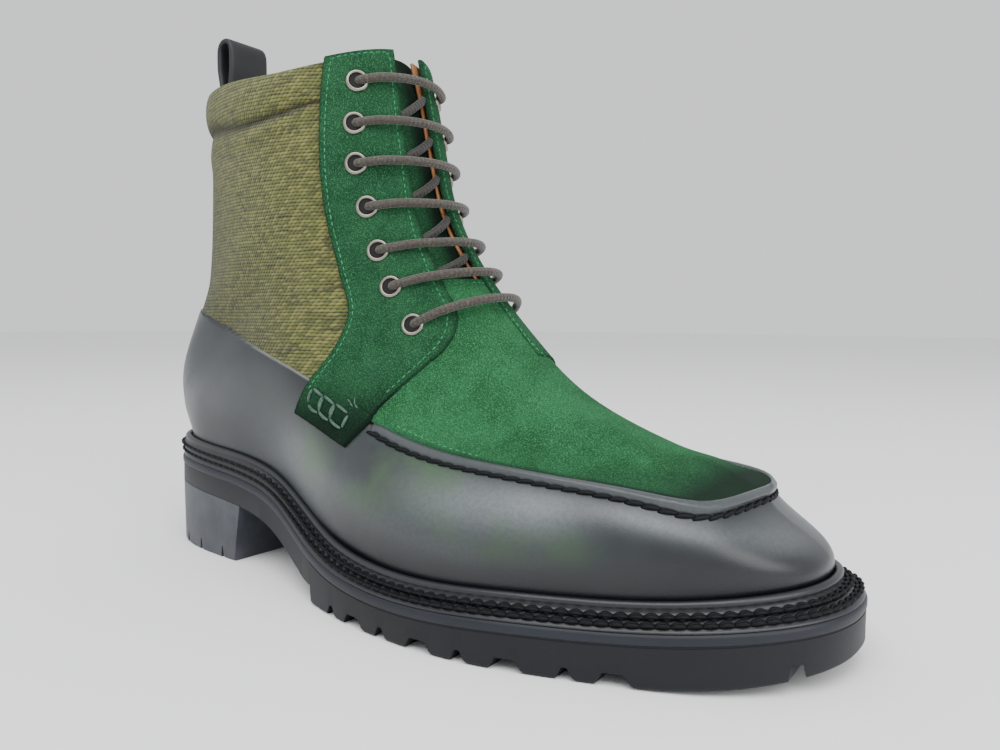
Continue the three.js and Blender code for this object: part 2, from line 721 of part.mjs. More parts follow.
// Raised piping just outside the apron's edge, from tab to tab round the toe.
function pipingSolid() {
  const ribs = RIB_PLACES.filter((v) => v < 0.51);
  const places = [
    ...ribs.slice().reverse().map((v) => [OUTER, v]),
    ...ribs.slice(1).map((v) => [INNER, v]),
  ];
  const start = 0.505;
  const steps = [0, 0.2, 0.55, 0.85, 1];
  const heights = [0.5, pipingHeight, pipingHeight + 0.3, pipingHeight - 0.2, 0.5];
  const grid = (lift) => places.map(([side, v]) => steps.map((t, k) =>
    offsetPoint(side, start + t * pipingWidthShare, v, lift[k])));
  return shell(grid(heights.map((h) => h + clearance)), grid(heights.map(() => clearance + 0.05)));
}

// Ring lying on the stay.
function eyeletSolid(side, u, v) {
  const profile = [
    [eyeletHole, 0],
    [eyeletOuter, 0],
    [(eyeletOuter + eyeletHole) / 2, eyeletThickness],
    [eyeletHole, 0],
  ].map(([r, h]) => new THREE.Vector2(r, h));
  const geometry = new THREE.LatheGeometry(profile, 10);
  const normal = upperNormal(side, u, v);
  const turn = new THREE.Quaternion().setFromUnitVectors(V(0, 1, 0), normal);
  const seat = offsetPoint(side, u, v, 2 * clearance + stayThickness);
  geometry.applyQuaternion(turn);
  geometry.translate(seat.x, seat.y, seat.z);
  return fromGeometry(geometry);
}

// Round cord through points, with flat ends.
function cord(points, steps, sides) {
  const tube = new THREE.TubeGeometry(new THREE.CatmullRomCurve3(points), steps, laceRadius, sides, false);
  const at = tube.attributes.position;
  const skin = new Skin();
  skin.points = Array.from(tube.toNonIndexed().attributes.position.array);
  const corner = (k, i) => V(0, 0, 0).fromBufferAttribute(at, k * (sides + 1) + i);
  for (let i = 1; i + 1 < sides; i++) {
    skin.triangle(corner(0, 0), corner(0, i), corner(0, i + 1));
    skin.triangle(corner(steps, 0), corner(steps, i + 1), corner(steps, i));
  }
  return skin.solid();
}

// Point of a rib at a given place across, raised off the upper.
function acrossPoint(v, y, lift) {
  const side = y < upperPoint(OUTER, 0, v).y ? OUTER : INNER;
  let low = 0;
  let high = 0.5;
  for (let i = 0; i < 24; i++) {
    const u = (low + high) / 2;
    if (side * upperPoint(side, u, v).y < side * y) low = u;
    else high = u;
  }
  return offsetPoint(side, high, v, lift);
}

// Lace: a bar over the throat from eyelet to eyelet, and a lower run slanting to the next bar.
function lacesSolid() {
  const over = 3 * clearance + stayThickness + eyeletThickness + laceRadius;
  const under = over - 1.6 * laceRadius;
  const outer = table(THROAT, "v", "outer");
  const inner = table(THROAT, "v", "inner");
  const margin = laceRadius + 2 * clearance;
  let made = null;
  EYELETS.forEach((row, i) => {
    const points = [-1, -0.6, -0.25, 0, 0.4, 0.75, 1].map((t) =>
      offsetPoint(t < 0 ? OUTER : INNER, Math.abs(t) * (t < 0 ? row.outer : row.inner), row.v, over));
    const bar = cord(points, 8, 6);
    made = made ? made.add(bar) : bar;
    const next = EYELETS[i + 1];
    if (!next) return;
    const start = inner(row.v) * ballWidth - margin;
    const end = outer(next.v) * ballWidth + margin;
    const runs = [0, 0.25, 0.75, 1].map((t) => {
      const v = row.v + (next.v - row.v) * t;
      return acrossPoint(v, start + (end - start) * t, t === 0 || t === 1 ? over : under);
    });
    made = made.add(cord(runs, 4, 6));
  });
  return made;
}

// Strap folded into a loop, with both its legs inside the back of the collar.
function pullLoopSolid() {
  const back = offsetPoint(OUTER, 1, 2, 0);
  const outside = back.x + wall + clearance + loopInset;
  const inside = outside + 2 * loopThickness + 2 * clearance;
  const crown = loopSpan / 2;
  const middle = outside - loopLean + crown;
  const top = back.z + loopHeight;
  const spring = top - crown;
  const rise = spring - back.z;
  const path = [];
  path.push([outside, back.z - 9], [outside, back.z]);
  path.push([outside - 0.55 * loopLean, back.z + 0.35 * rise]);
  path.push([middle - crown, back.z + 0.65 * rise]);
  for (let k = 0; k <= 5; k++) {
    const a = Math.PI - (Math.PI * k) / 5;
    path.push([middle + crown * Math.cos(a), spring + crown * Math.sin(a)]);
  }
  path.push([middle + crown, back.z + 0.65 * rise]);
  path.push([inside + 0.55 * (middle + crown - inside), back.z + 0.35 * rise]);
  path.push([inside, back.z], [inside, back.z - 9]);
  const n = path.length;
  const inner = path.map(([x, z], i) => {
    const a = path[Math.max(0, i - 1)];
    const b = path[Math.min(n - 1, i + 1)];
    const length = Math.hypot(b[0] - a[0], b[1] - a[1]);
    return [x + ((b[1] - a[1]) / length) * loopThickness, z - ((b[0] - a[0]) / length) * loopThickness];
  });
  return sidePrism([...path, ...inner.reverse()], -loopWidth / 2, loopWidth / 2);
}

const COLOURS = {
  sole: { color: "#2e323b", roughness: 0.62 },
  band: { color: "#545966", roughness: 0.55 },
  heel: { color: "#6e7078", roughness: 0.5 },
  welt: { color: "#33363f", roughness: 0.5 },
  leather: { color: "#3c4442", roughness: 0.35 },
  suede: { color: "#2e7a45", roughness: 0.9 },
  strap: { color: "#2a2c30", roughness: 0.5 },
  insole: { color: "#c08a55", roughness: 0.7 },
  eyelet: { color: "#b9b6ae", roughness: 0.3, metalness: 1 },
  lace: { color: "#5e554d", roughness: 0.8 },
};

const pieces = [
  ["outsole", outsoleSolid(), "sole"],
  ["heel", heelSolid(), "heel"],
  ["midsole", midsoleSolid(), "band"],
  ["welt", weltSolid(), "welt"],
  ["insole", insoleSolid(), "insole"],
  ["upper", upperSolid(), "leather"],
  ["tongue", tongueSolid(), "suede"],
  ["eyestay_outer", staySolid(OUTER), "suede"],
  ["eyestay_inner", staySolid(INNER), "suede"],
  ["apron_piping", pipingSolid(), "leather"],
  ["pull_loop", pullLoopSolid(), "strap"],
  ["laces", lacesSolid(), "lace"],
];
EYELETS.forEach((row, i) => {
  pieces.push([`eyelet_outer_${i + 1}`, eyeletSolid(OUTER, row.outer, row.v), "eyelet"]);
  pieces.push([`eyelet_inner_${i + 1}`, eyeletSolid(INNER, row.inner, row.v), "eyelet"]);
});

// Middle of the whole boot over the origin, lowest point on the floor.
const box = new THREE.Box3();
for (const [, solid] of pieces) {
  const { min, max } = solid.boundingBox();
  box.expandByPoint(V(...min)).expandByPoint(V(...max));
}
const shift = V(-(box.min.x + box.max.x) / 2, -(box.min.y + box.max.y) / 2, -box.min.z);

const boot = new THREE.Group();
boot.name = "lace_up_boot";
for (const [name, solid, look] of pieces) {
  const made = solid.simplify(finest).translate([shift.x, shift.y, shift.z]).getMesh();
  const geometry = new THREE.BufferGeometry();
  geometry.setAttribute("position", new THREE.BufferAttribute(made.vertProperties, 3));
  geometry.setIndex(new THREE.BufferAttribute(made.triVerts, 1));
  const mesh = new THREE.Mesh(geometry, new THREE.MeshStandardMaterial(COLOURS[look]));
  mesh.name = name;
  boot.add(mesh);
}

export default boot;
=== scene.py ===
import math

import bmesh
import bpy
import numpy as np
from mathutils import Matrix, Vector

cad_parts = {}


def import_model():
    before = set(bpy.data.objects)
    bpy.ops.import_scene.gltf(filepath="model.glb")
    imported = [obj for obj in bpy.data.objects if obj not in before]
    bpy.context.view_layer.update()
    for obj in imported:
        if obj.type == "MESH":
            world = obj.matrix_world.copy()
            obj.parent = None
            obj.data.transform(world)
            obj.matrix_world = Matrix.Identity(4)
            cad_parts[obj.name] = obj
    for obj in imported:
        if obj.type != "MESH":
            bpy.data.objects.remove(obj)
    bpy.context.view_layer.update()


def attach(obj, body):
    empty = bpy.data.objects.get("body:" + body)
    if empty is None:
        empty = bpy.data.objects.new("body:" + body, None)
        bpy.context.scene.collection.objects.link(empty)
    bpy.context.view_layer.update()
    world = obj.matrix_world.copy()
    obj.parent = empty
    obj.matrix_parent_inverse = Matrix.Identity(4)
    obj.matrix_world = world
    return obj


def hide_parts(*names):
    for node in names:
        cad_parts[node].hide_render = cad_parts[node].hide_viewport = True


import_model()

MM = 0.001
SHIFT = np.array([-2.8, 1.7782, 0.0])
LENGTH = 289.0
BALL = 97.0
HEIGHT = 204.0
SOLE = 20.0
HEEL_RISE = 29.0
REACH = 8.4
LIP = 3.3
BAND = 3.4
TREAD = 4.6
OUTER = -1.0
INNER = 1.0

# Last edge: along, swing, half width.
LAST_EDGE = [
    (1.0, 0.082, 0.0),
    (0.991, 0.077, 0.134),
    (0.958, 0.067, 0.258),
    (0.893, 0.052, 0.371),
    (0.799, 0.026, 0.448),
    (0.696, -0.01, 0.5),
    (0.581, -0.046, 0.479),
    (0.464, -0.062, 0.402),
    (0.339, -0.031, 0.314),
    (0.211, -0.005, 0.304),
    (0.107, 0.0, 0.284),
    (0.042, 0.0, 0.216),
    (0.012, 0.0, 0.119),
    (0.0, 0.0, 0.0),
]
# Height of the last edge: along, share of the heel rise.
EDGE_RISE = [
    (-0.014, 1.0), (0.059, 0.966), (0.145, 0.907), (0.204, 0.862), (0.249, 0.803),
    (0.298, 0.69), (0.353, 0.483), (0.415, 0.269), (0.474, 0.11), (0.536, 0.021),
    (0.588, -0.01), (0.657, 0.0), (0.72, 0.028), (0.817, 0.055), (0.92, 0.138),
    (1.007, 0.241),
]
# Ribs: v, ridge along, ridge up, swing, seam along, seam up, half width, lean.
RIBS = [
    (0.0, 0.841, 0.207, 0.067, 0.934, 0.163, 0.0, 8),
    (0.075, 0.834, 0.207, 0.067, 0.91, 0.16, 0.258, 8),
    (0.19, 0.817, 0.217, 0.057, 0.824, 0.171, 0.361, 10),
    (0.34, 0.709, 0.293, 0.052, 0.685, 0.196, 0.412, 16),
    (0.48, 0.63, 0.397, 0.052, 0.54, 0.231, 0.418, 35),
    (0.61, 0.578, 0.489, 0.041, 0.415, 0.326, 0.412, 60),
    (0.75, 0.54, 0.571, 0.026, 0.356, 0.435, 0.387, 80),
    (0.86, 0.519, 0.62, 0.021, 0.332, 0.511, 0.376, 90),
    (1.0, 0.502, 0.674, 0.01, 0.318, 0.587, 0.371, 90),
    (1.3, 0.484, 0.772, 0.0, 0.308, 0.701, 0.376, 90),
    (1.65, 0.464, 0.891, 0.0, 0.298, 0.837, 0.387, 90),
    (2.0, 0.446, 1.0, 0.0, 0.287, 0.954, 0.392, 90),
]
# Line up the back: v, along, up.
BACK_LINE = [
    (1.0, 0.0, 0.158), (1.12, -0.01, 0.25), (1.25, 0.009, 0.359), (1.35, 0.03, 0.446),
    (1.6, 0.054, 0.652), (1.85, 0.061, 0.859), (2.0, 0.057, 0.978),
]
# Sole edge: along, reach, welt depth.
SOLE_EDGE = [
    (-0.02, 0.42, 8.2), (0.1, 0.5, 8.2), (0.25, 0.62, 8.2), (0.42, 0.84, 6.8),
    (0.6, 0.9, 6.0), (0.85, 0.95, 6.0), (1.0, 1.1, 6.0),
]
# Throat between the stays: v, outer and inner limit across.
THROAT = [
    (0.54, -0.135, 0.03), (0.605, -0.115, 0.03), (0.79, -0.113, 0.033),
    (1.0, -0.115, 0.031), (1.5, -0.108, 0.036), (2.06, -0.08, 0.064),
]
# Stay outlines in side view: along, up.
STAY_REAR = [
    (0.389, 0.985), (0.389, 0.962), (0.388, 0.81), (0.39, 0.731), (0.395, 0.66),
    (0.404, 0.598), (0.416, 0.538), (0.429, 0.487), (0.434, 0.451), (0.42, 0.386),
    (0.383, 0.307), (0.362, 0.253),
]
STAY_FRONT = {
    OUTER: [
        (0.474, 0.2), (0.496, 0.241), (0.498, 0.268), (0.518, 0.31), (0.547, 0.36),
        (0.568, 0.386), (0.59, 0.43), (0.7, 0.5), (0.7, 1.1), (0.389, 1.1),
    ],
    INNER: [
        (0.474, 0.2), (0.496, 0.241), (0.5, 0.262), (0.545, 0.29), (0.62, 0.325),
        (0.655, 0.345), (0.665, 0.37), (0.7, 0.5), (0.7, 1.1), (0.389, 1.1),
    ],
}
# Eyelets: v, place across on the outer and on the inner side.
EYELETS = [
    (1.793, 0.2, 0.14), (1.514, 0.227, 0.155), (1.272, 0.24, 0.17), (1.003, 0.235, 0.165),
    (0.792, 0.233, 0.165), (0.675, 0.242, 0.17), (0.59, 0.259, 0.19),
]
# Upper edge of the leather in side view: x, z.
LEATHER_TOP = [
    (-150, 108.5), (-125, 107.5), (-110, 105.8), (-98.8, 103.3), (-84, 98.2), (-67, 92.8),
    (-52.9, 88.3), (-41.6, 84.2), (-30, 79.2), (-16, 72.8), (-2.3, 66.4), (10, 60),
]
# Edges of the rolled strip round the apron: v, place across on the outer and on the inner side.
STRIP_IN = [
    (0, 0.473, 0.473), (0.031, 0.47, 0.494), (0.066, 0.48, 0.492), (0.095, 0.482, 0.484),
    (0.12, 0.472, 0.476), (0.16, 0.463, 0.47), (0.22, 0.473, 0.475), (0.276, 0.494, 0.494),
    (0.34, 0.51, 0.51), (0.405, 0.515, 0.515), (0.48, 0.513, 0.513), (0.53, 0.525, 0.525),
]
STRIP_OUT = [
    (0, 0.533, 0.533), (0.03, 0.535, 0.548), (0.07, 0.549, 0.552), (0.105, 0.562, 0.557),
    (0.156, 0.55, 0.55), (0.215, 0.565, 0.565), (0.274, 0.58, 0.58), (0.34, 0.586, 0.586),
    (0.53, 0.59, 0.59),
]
# Notches: along, width at the mouth, width at the root, reach inwards.
TREAD_NOTCHES = [
    (0.488, 6, 1.5, 10), (0.533, 11, 6, 70), (0.581, 6, 1.5, 10), (0.637, 11, 6, 70),
    (0.688, 6, 1.5, 10), (0.74, 11, 6, 70), (0.799, 6, 1.5, 10), (0.845, 11, 6, 70),
    (0.995, 3.5, 2.5, 70),
]
HEEL_NOTCHES = [0.026, 0.068, 0.118, 0.18]
HEEL_BREAST = 0.228
BREAST_SLANT = 5.0
FIRST_LUG = 0.436
# Pull loop: upper's wall, gap, inset, strap, height, half width, crown and lean.
WALL = 2.0
GAP = 0.3
LOOP_INSET = 4.8
LOOP_THICK = 2.4
LOOP_HEIGHT = 30.0
LOOP_HALF = 10.0
LOOP_CROWN = 5.5
LOOP_LEAN = 3.5
# Lace and eyelets: lace radius, the radius of the dark disc painted as shadow inside each eyelet, the eyelet
# seat's height over the upper.
LACE_RADIUS = 1.62
HOLE_RADIUS = 3.0
EYELET_SEAT = 1.85
EYELET_PROFILE = [
    (2.85, 0.0), (2.95, 0.4), (3.2, 0.75), (3.55, 0.85), (3.9, 0.7), (4.2, 0.35), (4.4, 0.0), (4.35, -0.3),
]
# Section of the rolled strip: share across, height.
STRIP_PROFILE = [
    (0, 0.1), (0.06, 0.8), (0.2, 1.5), (0.38, 1.75), (0.6, 1.5), (0.8, 0.8), (0.93, 0.1), (1, -0.1),
]
STRIP_END = 0.53


def smooth(a, b, x):
    t = np.clip((np.asarray(x, float) - a) / (b - a), 0, 1)
    return t * t * (3 - 2 * t)


def along_x(share):
    return np.asarray(share, float) * LENGTH - LENGTH / 2


def up_z(share):
    return SOLE + np.asarray(share, float) * (HEIGHT - SOLE)


def stack(x, y, z):
    return np.stack(np.broadcast_arrays(x, y, z), -1).astype(float)


def unit(a):
    return a / np.maximum(np.linalg.norm(a, axis=-1, keepdims=True), 1e-12)


class Spline:
    """Natural cubic spline through rows of values."""

    def __init__(self, places, rows):
        self.x = np.asarray(places, float)
        self.y = np.asarray(rows, float)
        n = len(self.x)
        h = np.diff(self.x)
        left = np.zeros((n, n))
        right = np.zeros_like(self.y)
        left[0, 0] = left[-1, -1] = 1
        for i in range(1, n - 1):
            left[i, i - 1 : i + 2] = h[i - 1], 2 * (h[i - 1] + h[i]), h[i]
            slope = (self.y[i + 1] - self.y[i]) / h[i] - (self.y[i] - self.y[i - 1]) / h[i - 1]
            right[i] = 6 * slope
        self.m = np.linalg.solve(left, right)

    def __call__(self, x):
        x = np.asarray(x, float)
        k = np.clip(np.searchsorted(self.x, x, side="right") - 1, 0, len(self.x) - 2)
        h = (self.x[k + 1] - self.x[k])[..., None]
        t = (x - self.x[k])[..., None]
        r = h - t
        m, y = self.m, self.y
        bent = (m[k] * r**3 + m[k + 1] * t**3) / (6 * h)
        return bent + (y[k] / h - m[k] * h / 6) * r + (y[k + 1] / h - m[k + 1] * h / 6) * t


def table(rows, column):
    xs = [r[0] for r in rows]
    ys = [r[column] for r in rows]
    return lambda x: np.interp(x, xs, ys)


edge_rise = Spline([r[0] for r in EDGE_RISE], [[r[1]] for r in EDGE_RISE])
rib_at = Spline([r[0] for r in RIBS], [r[1:] for r in RIBS])
back_at = Spline([r[0] for r in BACK_LINE], [r[1:] for r in BACK_LINE])
strip_in = {OUTER: Spline([r[0] for r in STRIP_IN], [[r[1]] for r in STRIP_IN]),
            INNER: Spline([r[0] for r in STRIP_IN], [[r[2]] for r in STRIP_IN])}
strip_out = {OUTER: Spline([r[0] for r in STRIP_OUT], [[r[1]] for r in STRIP_OUT]),
             INNER: Spline([r[0] for r in STRIP_OUT], [[r[2]] for r in STRIP_OUT])}
leather_top = table(LEATHER_TOP, 1)
reach_share = table(SOLE_EDGE, 1)
welt_depth = table(SOLE_EDGE, 2)
throat_outer = table(THROAT, 1)
throat_inner = table(THROAT, 2)


def edge_height(x):
    return SOLE + HEEL_RISE * edge_rise(np.asarray(x) / LENGTH + 0.5)[..., 0]


def edge_curve(side):
    def on(row, s):
        return (float(along_x(row[0])), BALL * (row[1] + s * row[2]))

    own = [on(r, side) for r in LAST_EDGE]
    other = [on(r, -side) for r in LAST_EDGE]
    points = np.array([other[3], other[2], other[1], *own, other[-2], other[-3], other[-4]])
    steps = np.linalg.norm(np.diff(points, axis=0), axis=1)
    lengths = np.concatenate([[0], np.cumsum(steps)])
    return Spline(lengths, points), lengths[3], lengths[-4]


EDGES = {OUTER: edge_curve(OUTER), INNER: edge_curve(INNER)}


def edge_point(side, s):
    side, s = np.broadcast_arrays(np.asarray(side, float), np.asarray(s, float))
    found = []
    for own in (OUTER, INNER):
        curve, start, end = EDGES[own]
        found.append(curve(start + (end - start) * s))
    xy = np.where((side < 0)[..., None], found[0], found[1])
    return stack(xy[..., 0], xy[..., 1], edge_height(xy[..., 0]))


def edge_outwards(side, s):
    ds = 1e-3
    s = np.asarray(s, float)
    d = edge_point(side, np.minimum(1, s + ds)) - edge_point(side, np.maximum(0, s - ds))
    out = unit(stack(d[..., 1], -d[..., 0], 0 * d[..., 0]) * np.asarray(side, float)[..., None])
    out = np.where((s <= 0)[..., None], [1.0, 0, 0], out)
    return np.where((s >= 1)[..., None], [-1.0, 0, 0], out)


def bezier(a, b, c, d, t):
    t = t[..., None]
    r = 1 - t
    return a * r**3 + 3 * b * r * r * t + 3 * c * r * t * t + d * t**3


def upper_point(side, u, v):
    """Outside of the upper: u 0 on the ridge, 0.5 on the seam, 1 on the edge; v 0 toe, 1 heel, 2 rim."""
    side, u, v = (np.asarray(a, float) for a in np.broadcast_arrays(side, u, v))
    ridge, ridge_up, swing, seam_a, seam_up, half, lean = np.moveaxis(rib_at(v), -1, 0)
    middle = swing * BALL
    reach = half * BALL
    top = stack(along_x(ridge), middle, up_z(ridge_up))
    seam = stack(along_x(seam_a), middle + side * reach, up_z(seam_up))
    foot_v = np.minimum(v, 1)
    back, back_up = np.moveaxis(back_at(np.maximum(v, 1)), -1, 0)
    on_foot = (v <= 1)[..., None]
    edge = np.where(on_foot, edge_point(side, foot_v), stack(along_x(back), 0 * v, up_z(back_up)))
    out = np.where(on_foot, edge_outwards(side, foot_v), [-1.0, 0, 0])
    shaft = smooth(0.55, 1, v)[..., None]
    rise = seam[..., 2] - edge[..., 2]
    flat = stack(top[..., 0] - seam[..., 0], top[..., 1] - seam[..., 1], 0 * v)
    w = smooth(0.15, 0.23, v)[..., None]
    crown = (top - 0.5 * flat) * (1 - w) + (top + stack(0 * v, side * 0.55 * reach, 0 * v)) * w
    tilt = np.radians(lean)
    inwards = unit(flat) * np.cos(tilt)[..., None]
    inwards[..., 2] = np.sin(tilt)
    foot = seam + inwards * 0.4 * np.linalg.norm(seam - top, axis=-1)[..., None]
    down = unit(stack(edge[..., 0] - seam[..., 0], 0 * v, edge[..., 2] - seam[..., 2]))
    over = np.hypot(top[..., 0] - seam[..., 0], top[..., 2] - seam[..., 2])[..., None]
    ankle = seam - 0.55 * over * down
    high = bezier(top, crown, foot * (1 - shaft) + ankle * shaft, seam, np.minimum(2 * u, 1))
    spread = np.hypot(seam[..., 0] - edge[..., 0], seam[..., 1] - edge[..., 1])[..., None]
    keen = 1 - smooth(0.04, 0.24, v)
    foot = seam + out * (0.5 - 0.38 * keen)[..., None] * spread
    foot[..., 2] -= (0.08 + 0.34 * keen) * rise
    full = smooth(0.8, 1, v) * (1 - smooth(1.05, 1.4, v))
    part = 0.5 + 0.14 * full
    ankle = stack(
        seam[..., 0] + part * (edge[..., 0] - seam[..., 0]),
        seam[..., 1],
        seam[..., 2] + part * (edge[..., 2] - seam[..., 2]),
    )
    low = edge + 3 * out
    low[..., 2] += (0.6 - 0.12 * keen) * rise
    turn = smooth(0.84, 1.22, v)
    swell = (0.46 + 0.34 * full) * reach * smooth(0.78, 1, v)
    round_ = edge + out * (4 * (1 - turn))[..., None]
    round_[..., 1] = side * np.hypot(edge[..., 1], swell)
    round_[..., 2] += 0.3 * rise * (1 - turn)
    under = bezier(
        seam,
        foot * (1 - shaft) + ankle * shaft,
        low * (1 - shaft) + round_ * shaft,
        edge,
        np.maximum(2 * u - 1, 0),
    )
    return np.where((u <= 0.5)[..., None], high, under)


def carried_point(side, u, v):
    side, u, v = (np.array(a, float) for a in np.broadcast_arrays(side, u, v))
    side = np.where(u < 0, -side, side)
    u = np.abs(u)
    side = np.where(v < 0, -side, side)
    v = np.abs(v)
    past = (u > 1) & (v >= 1)
    side = np.where(past, -side, side)
    u = np.where(past, 2 - u, np.minimum(u, 1))
    return upper_point(side, u, v)


def raw_normal(side, u, v):
    e = 2e-3
    du = carried_point(side, u + e, v) - carried_point(side, u - e, v)
    dv = carried_point(side, u, v + e) - carried_point(side, u, v - e)
    return unit(np.cross(du, dv) * np.asarray(side, float)[..., None])


def upper_normal(side, u, v):
    side, u, v = (np.array(a, float) for a in np.broadcast_arrays(side, u, v))
    n = raw_normal(side, u, v)
    near = (1 - smooth(0, 0.03, u))[..., None]
    ridge = raw_normal(0 * u + OUTER, 0 * u + 0.03, v) + raw_normal(0 * u + INNER, 0 * u + 0.03, v)
    n = unit(n * (1 - near) + unit(ridge) * near)
    other = raw_normal(-side, np.minimum(u, 0.999), np.maximum(v, 1e-3))
    shared = ((v <= 1e-9) | ((u >= 1 - 1e-9) & (v >= 1)))[..., None]
    own = raw_normal(side, np.minimum(u, 0.999), np.maximum(v, 1e-3))
    return np.where(shared, unit(own + other), n)


def offset_point(side, u, v, lift):
    n = upper_normal(side, u, v)
    return upper_point(side, u, v) + n * np.asarray(lift, float)[..., None]


def strip_line(lines, side, v):
    v = np.clip(np.asarray(v, float), 0, STRIP_END)
    return np.where(np.asarray(side) < 0, lines[OUTER](v)[..., 0], lines[INNER](v)[..., 0])


def steps(start, *runs):
    """Even places from start on, in runs of an end and a count, each starting where the last stopped."""
    found = [np.array([float(start)])]
    for end, count in runs:
        found.append(np.linspace(start, end, count)[1:])
        start = end
    return np.concatenate(found)


# Meshes.
def new_mesh(name, points, faces, material, replaces=(), merge=True, attributes=None):
    mesh = bpy.data.meshes.new(name)
    mesh.from_pydata(((points + SHIFT) * MM).tolist(), [], [tuple(int(i) for i in f) for f in faces])
    if attributes:
        for key, values in attributes.items():
            at = mesh.attributes.new(key, "FLOAT", "POINT")
            at.data.foreach_set("value", np.asarray(values, np.float32))
    mesh.update()
    obj = bpy.data.objects.new(name, mesh)
    bpy.context.scene.collection.objects.link(obj)
    if merge:
        tidy(obj)
    mesh.materials.append(material)
    mesh.shade_smooth()
    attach(obj, "root")
    if replaces:
        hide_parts(*replaces)
    return obj


def tidy(obj, distance=2e-5):
    bm = bmesh.new()
    bm.from_mesh(obj.data)
    bmesh.ops.remove_doubles(bm, verts=bm.verts, dist=distance)
    bmesh.ops.dissolve_degenerate(bm, edges=bm.edges, dist=1e-6)
    loose = [v for v in bm.verts if not v.link_faces]
    bmesh.ops.delete(bm, geom=loose, context="VERTS")
    bmesh.ops.recalc_face_normals(bm, faces=bm.faces)
    bm.to_mesh(obj.data)
    bm.free()


def grid_faces(rows, columns, start=0):
    i, j = np.meshgrid(np.arange(rows - 1), np.arange(columns - 1), indexing="ij")
    a = start + (i * columns + j).ravel()
    return np.stack([a, a + 1, a + columns + 1, a + columns], -1)


def triangles(quads):
    return np.concatenate([quads[:, [0, 1, 2]], quads[:, [0, 2, 3]]])


def clip(data, faces, field):
    """The part of a triangle mesh where field is over zero, cut along zero. data holds a row per vertex."""
    inside = field > 0
    whole = inside[faces].all(1)
    crossing = ~whole & inside[faces].any(1)
    rows = []
    cuts = {}
    made = []

    def cut(i, j):
        key = (i, j) if i < j else (j, i)
        if key not in cuts:
            a, b = key
            t = field[a] / (field[a] - field[b])
            cuts[key] = len(data) + len(rows)
            rows.append(data[a] * (1 - t) + data[b] * t)
        return cuts[key]

    for tri in faces[crossing].tolist():
        ring = []
        for k in range(3):
            i, j = tri[k], tri[(k + 1) % 3]
            if inside[i]:
                ring.append(i)
            if inside[i] != inside[j]:
                ring.append(cut(i, j))
        for k in range(1, len(ring) - 1):
            made.append((ring[0], ring[k], ring[k + 1]))
    data = np.vstack([data, rows]) if rows else data
    faces = np.vstack([faces[whole], np.array(made, int).reshape(-1, 3)])
    used = np.unique(faces)
    index = np.full(len(data), -1)
    index[used] = np.arange(len(used))
    return data[used], index[faces]


def rim_edges(faces):
    """Edges that only one face has, in the direction of that face."""
    k = faces.shape[1]
    pairs = np.concatenate([faces[:, [i, (i + 1) % k]] for i in range(k)])
    pairs = pairs[pairs[:, 0] != pairs[:, 1]]
    keys = np.sort(pairs, 1)
    _, index, count = np.unique(keys, axis=0, return_index=True, return_counts=True)
    return pairs[index[count == 1]]


def with_skirt(points, faces, under):
    """Closes a sheet's rim down to a second set of points, and adds the sheet's back."""
    n = len(points)
    rim = rim_edges(faces)
    wall = np.stack([rim[:, 1], rim[:, 0], rim[:, 0] + n, rim[:, 1] + n], -1)
    back = faces[:, ::-1] + n
    return np.vstack([points, under]), [*faces.tolist(), *back.tolist(), *wall.tolist()]


def polygon_distance(x, z, outline):
    """Distance to a closed outline in side view, over zero inside it."""
    p = np.stack([x, z], -1)
    best = np.full(x.shape, 1e9)
    inside = np.zeros(x.shape, bool)
    n = len(outline)
    for i in range(n):
        a = np.array(outline[i])
        b = np.array(outline[(i + 1) % n])
        ab = b - a
        t = np.clip(((p - a) @ ab) / max(ab @ ab, 1e-12), 0, 1)
        best = np.minimum(best, np.linalg.norm(p - a - t[..., None] * ab, axis=-1))
        if a[1] != b[1]:
            crosses = (a[1] > z) != (b[1] > z)
            at = a[0] + (z - a[1]) / (b[1] - a[1]) * (b[0] - a[0])
            inside ^= crosses & (x < at)
    return np.where(inside, best, -best)


def contour(data, faces, field, level):
    """Lines on a triangle mesh where field has a level, as lists of data rows in order."""
    f = field - level
    f = np.where(f == 0, 1e-9, f)
    sign = f > 0
    crossing = faces[sign[faces].any(1) & ~sign[faces].all(1)]
    links = {}
    place = {}
    for tri in crossing.tolist():
        ends = []
        for k in range(3):
            i, j = tri[k], tri[(k + 1) % 3]
            if sign[i] != sign[j]:
                a, b = (i, j) if i < j else (j, i)
                if (a, b) not in place:
                    t = f[a] / (f[a] - f[b])
                    place[(a, b)] = data[a] * (1 - t) + data[b] * t
                ends.append((a, b))
        if len(ends) == 2:
            links.setdefault(ends[0], []).append(ends[1])
            links.setdefault(ends[1], []).append(ends[0])
    lines = []
    left = set(links)
    while left:
        tips = [k for k in left if len(links[k]) == 1]
        start = min(tips) if tips else min(left)
        line = [start]
        left.discard(start)
        while True:
            step = [k for k in links[line[-1]] if k in left]
            if not step:
                break
            line.append(step[0])
            left.discard(step[0])
        lines.append(np.array([place[k] for k in line]))
    return [line for line in lines if len(line) > 4]


def resample(points, spacing=None, count=None):
    steps = np.linalg.norm(np.diff(points[:, :3], axis=0), axis=1)
    lengths = np.concatenate([[0], np.cumsum(steps)])
    if count is None:
        count = max(2, int(round(lengths[-1] / spacing)) + 1)
    at = np.linspace(0, lengths[-1], count)
    return np.stack([np.interp(at, lengths, points[:, k]) for k in range(points.shape[1])], -1)


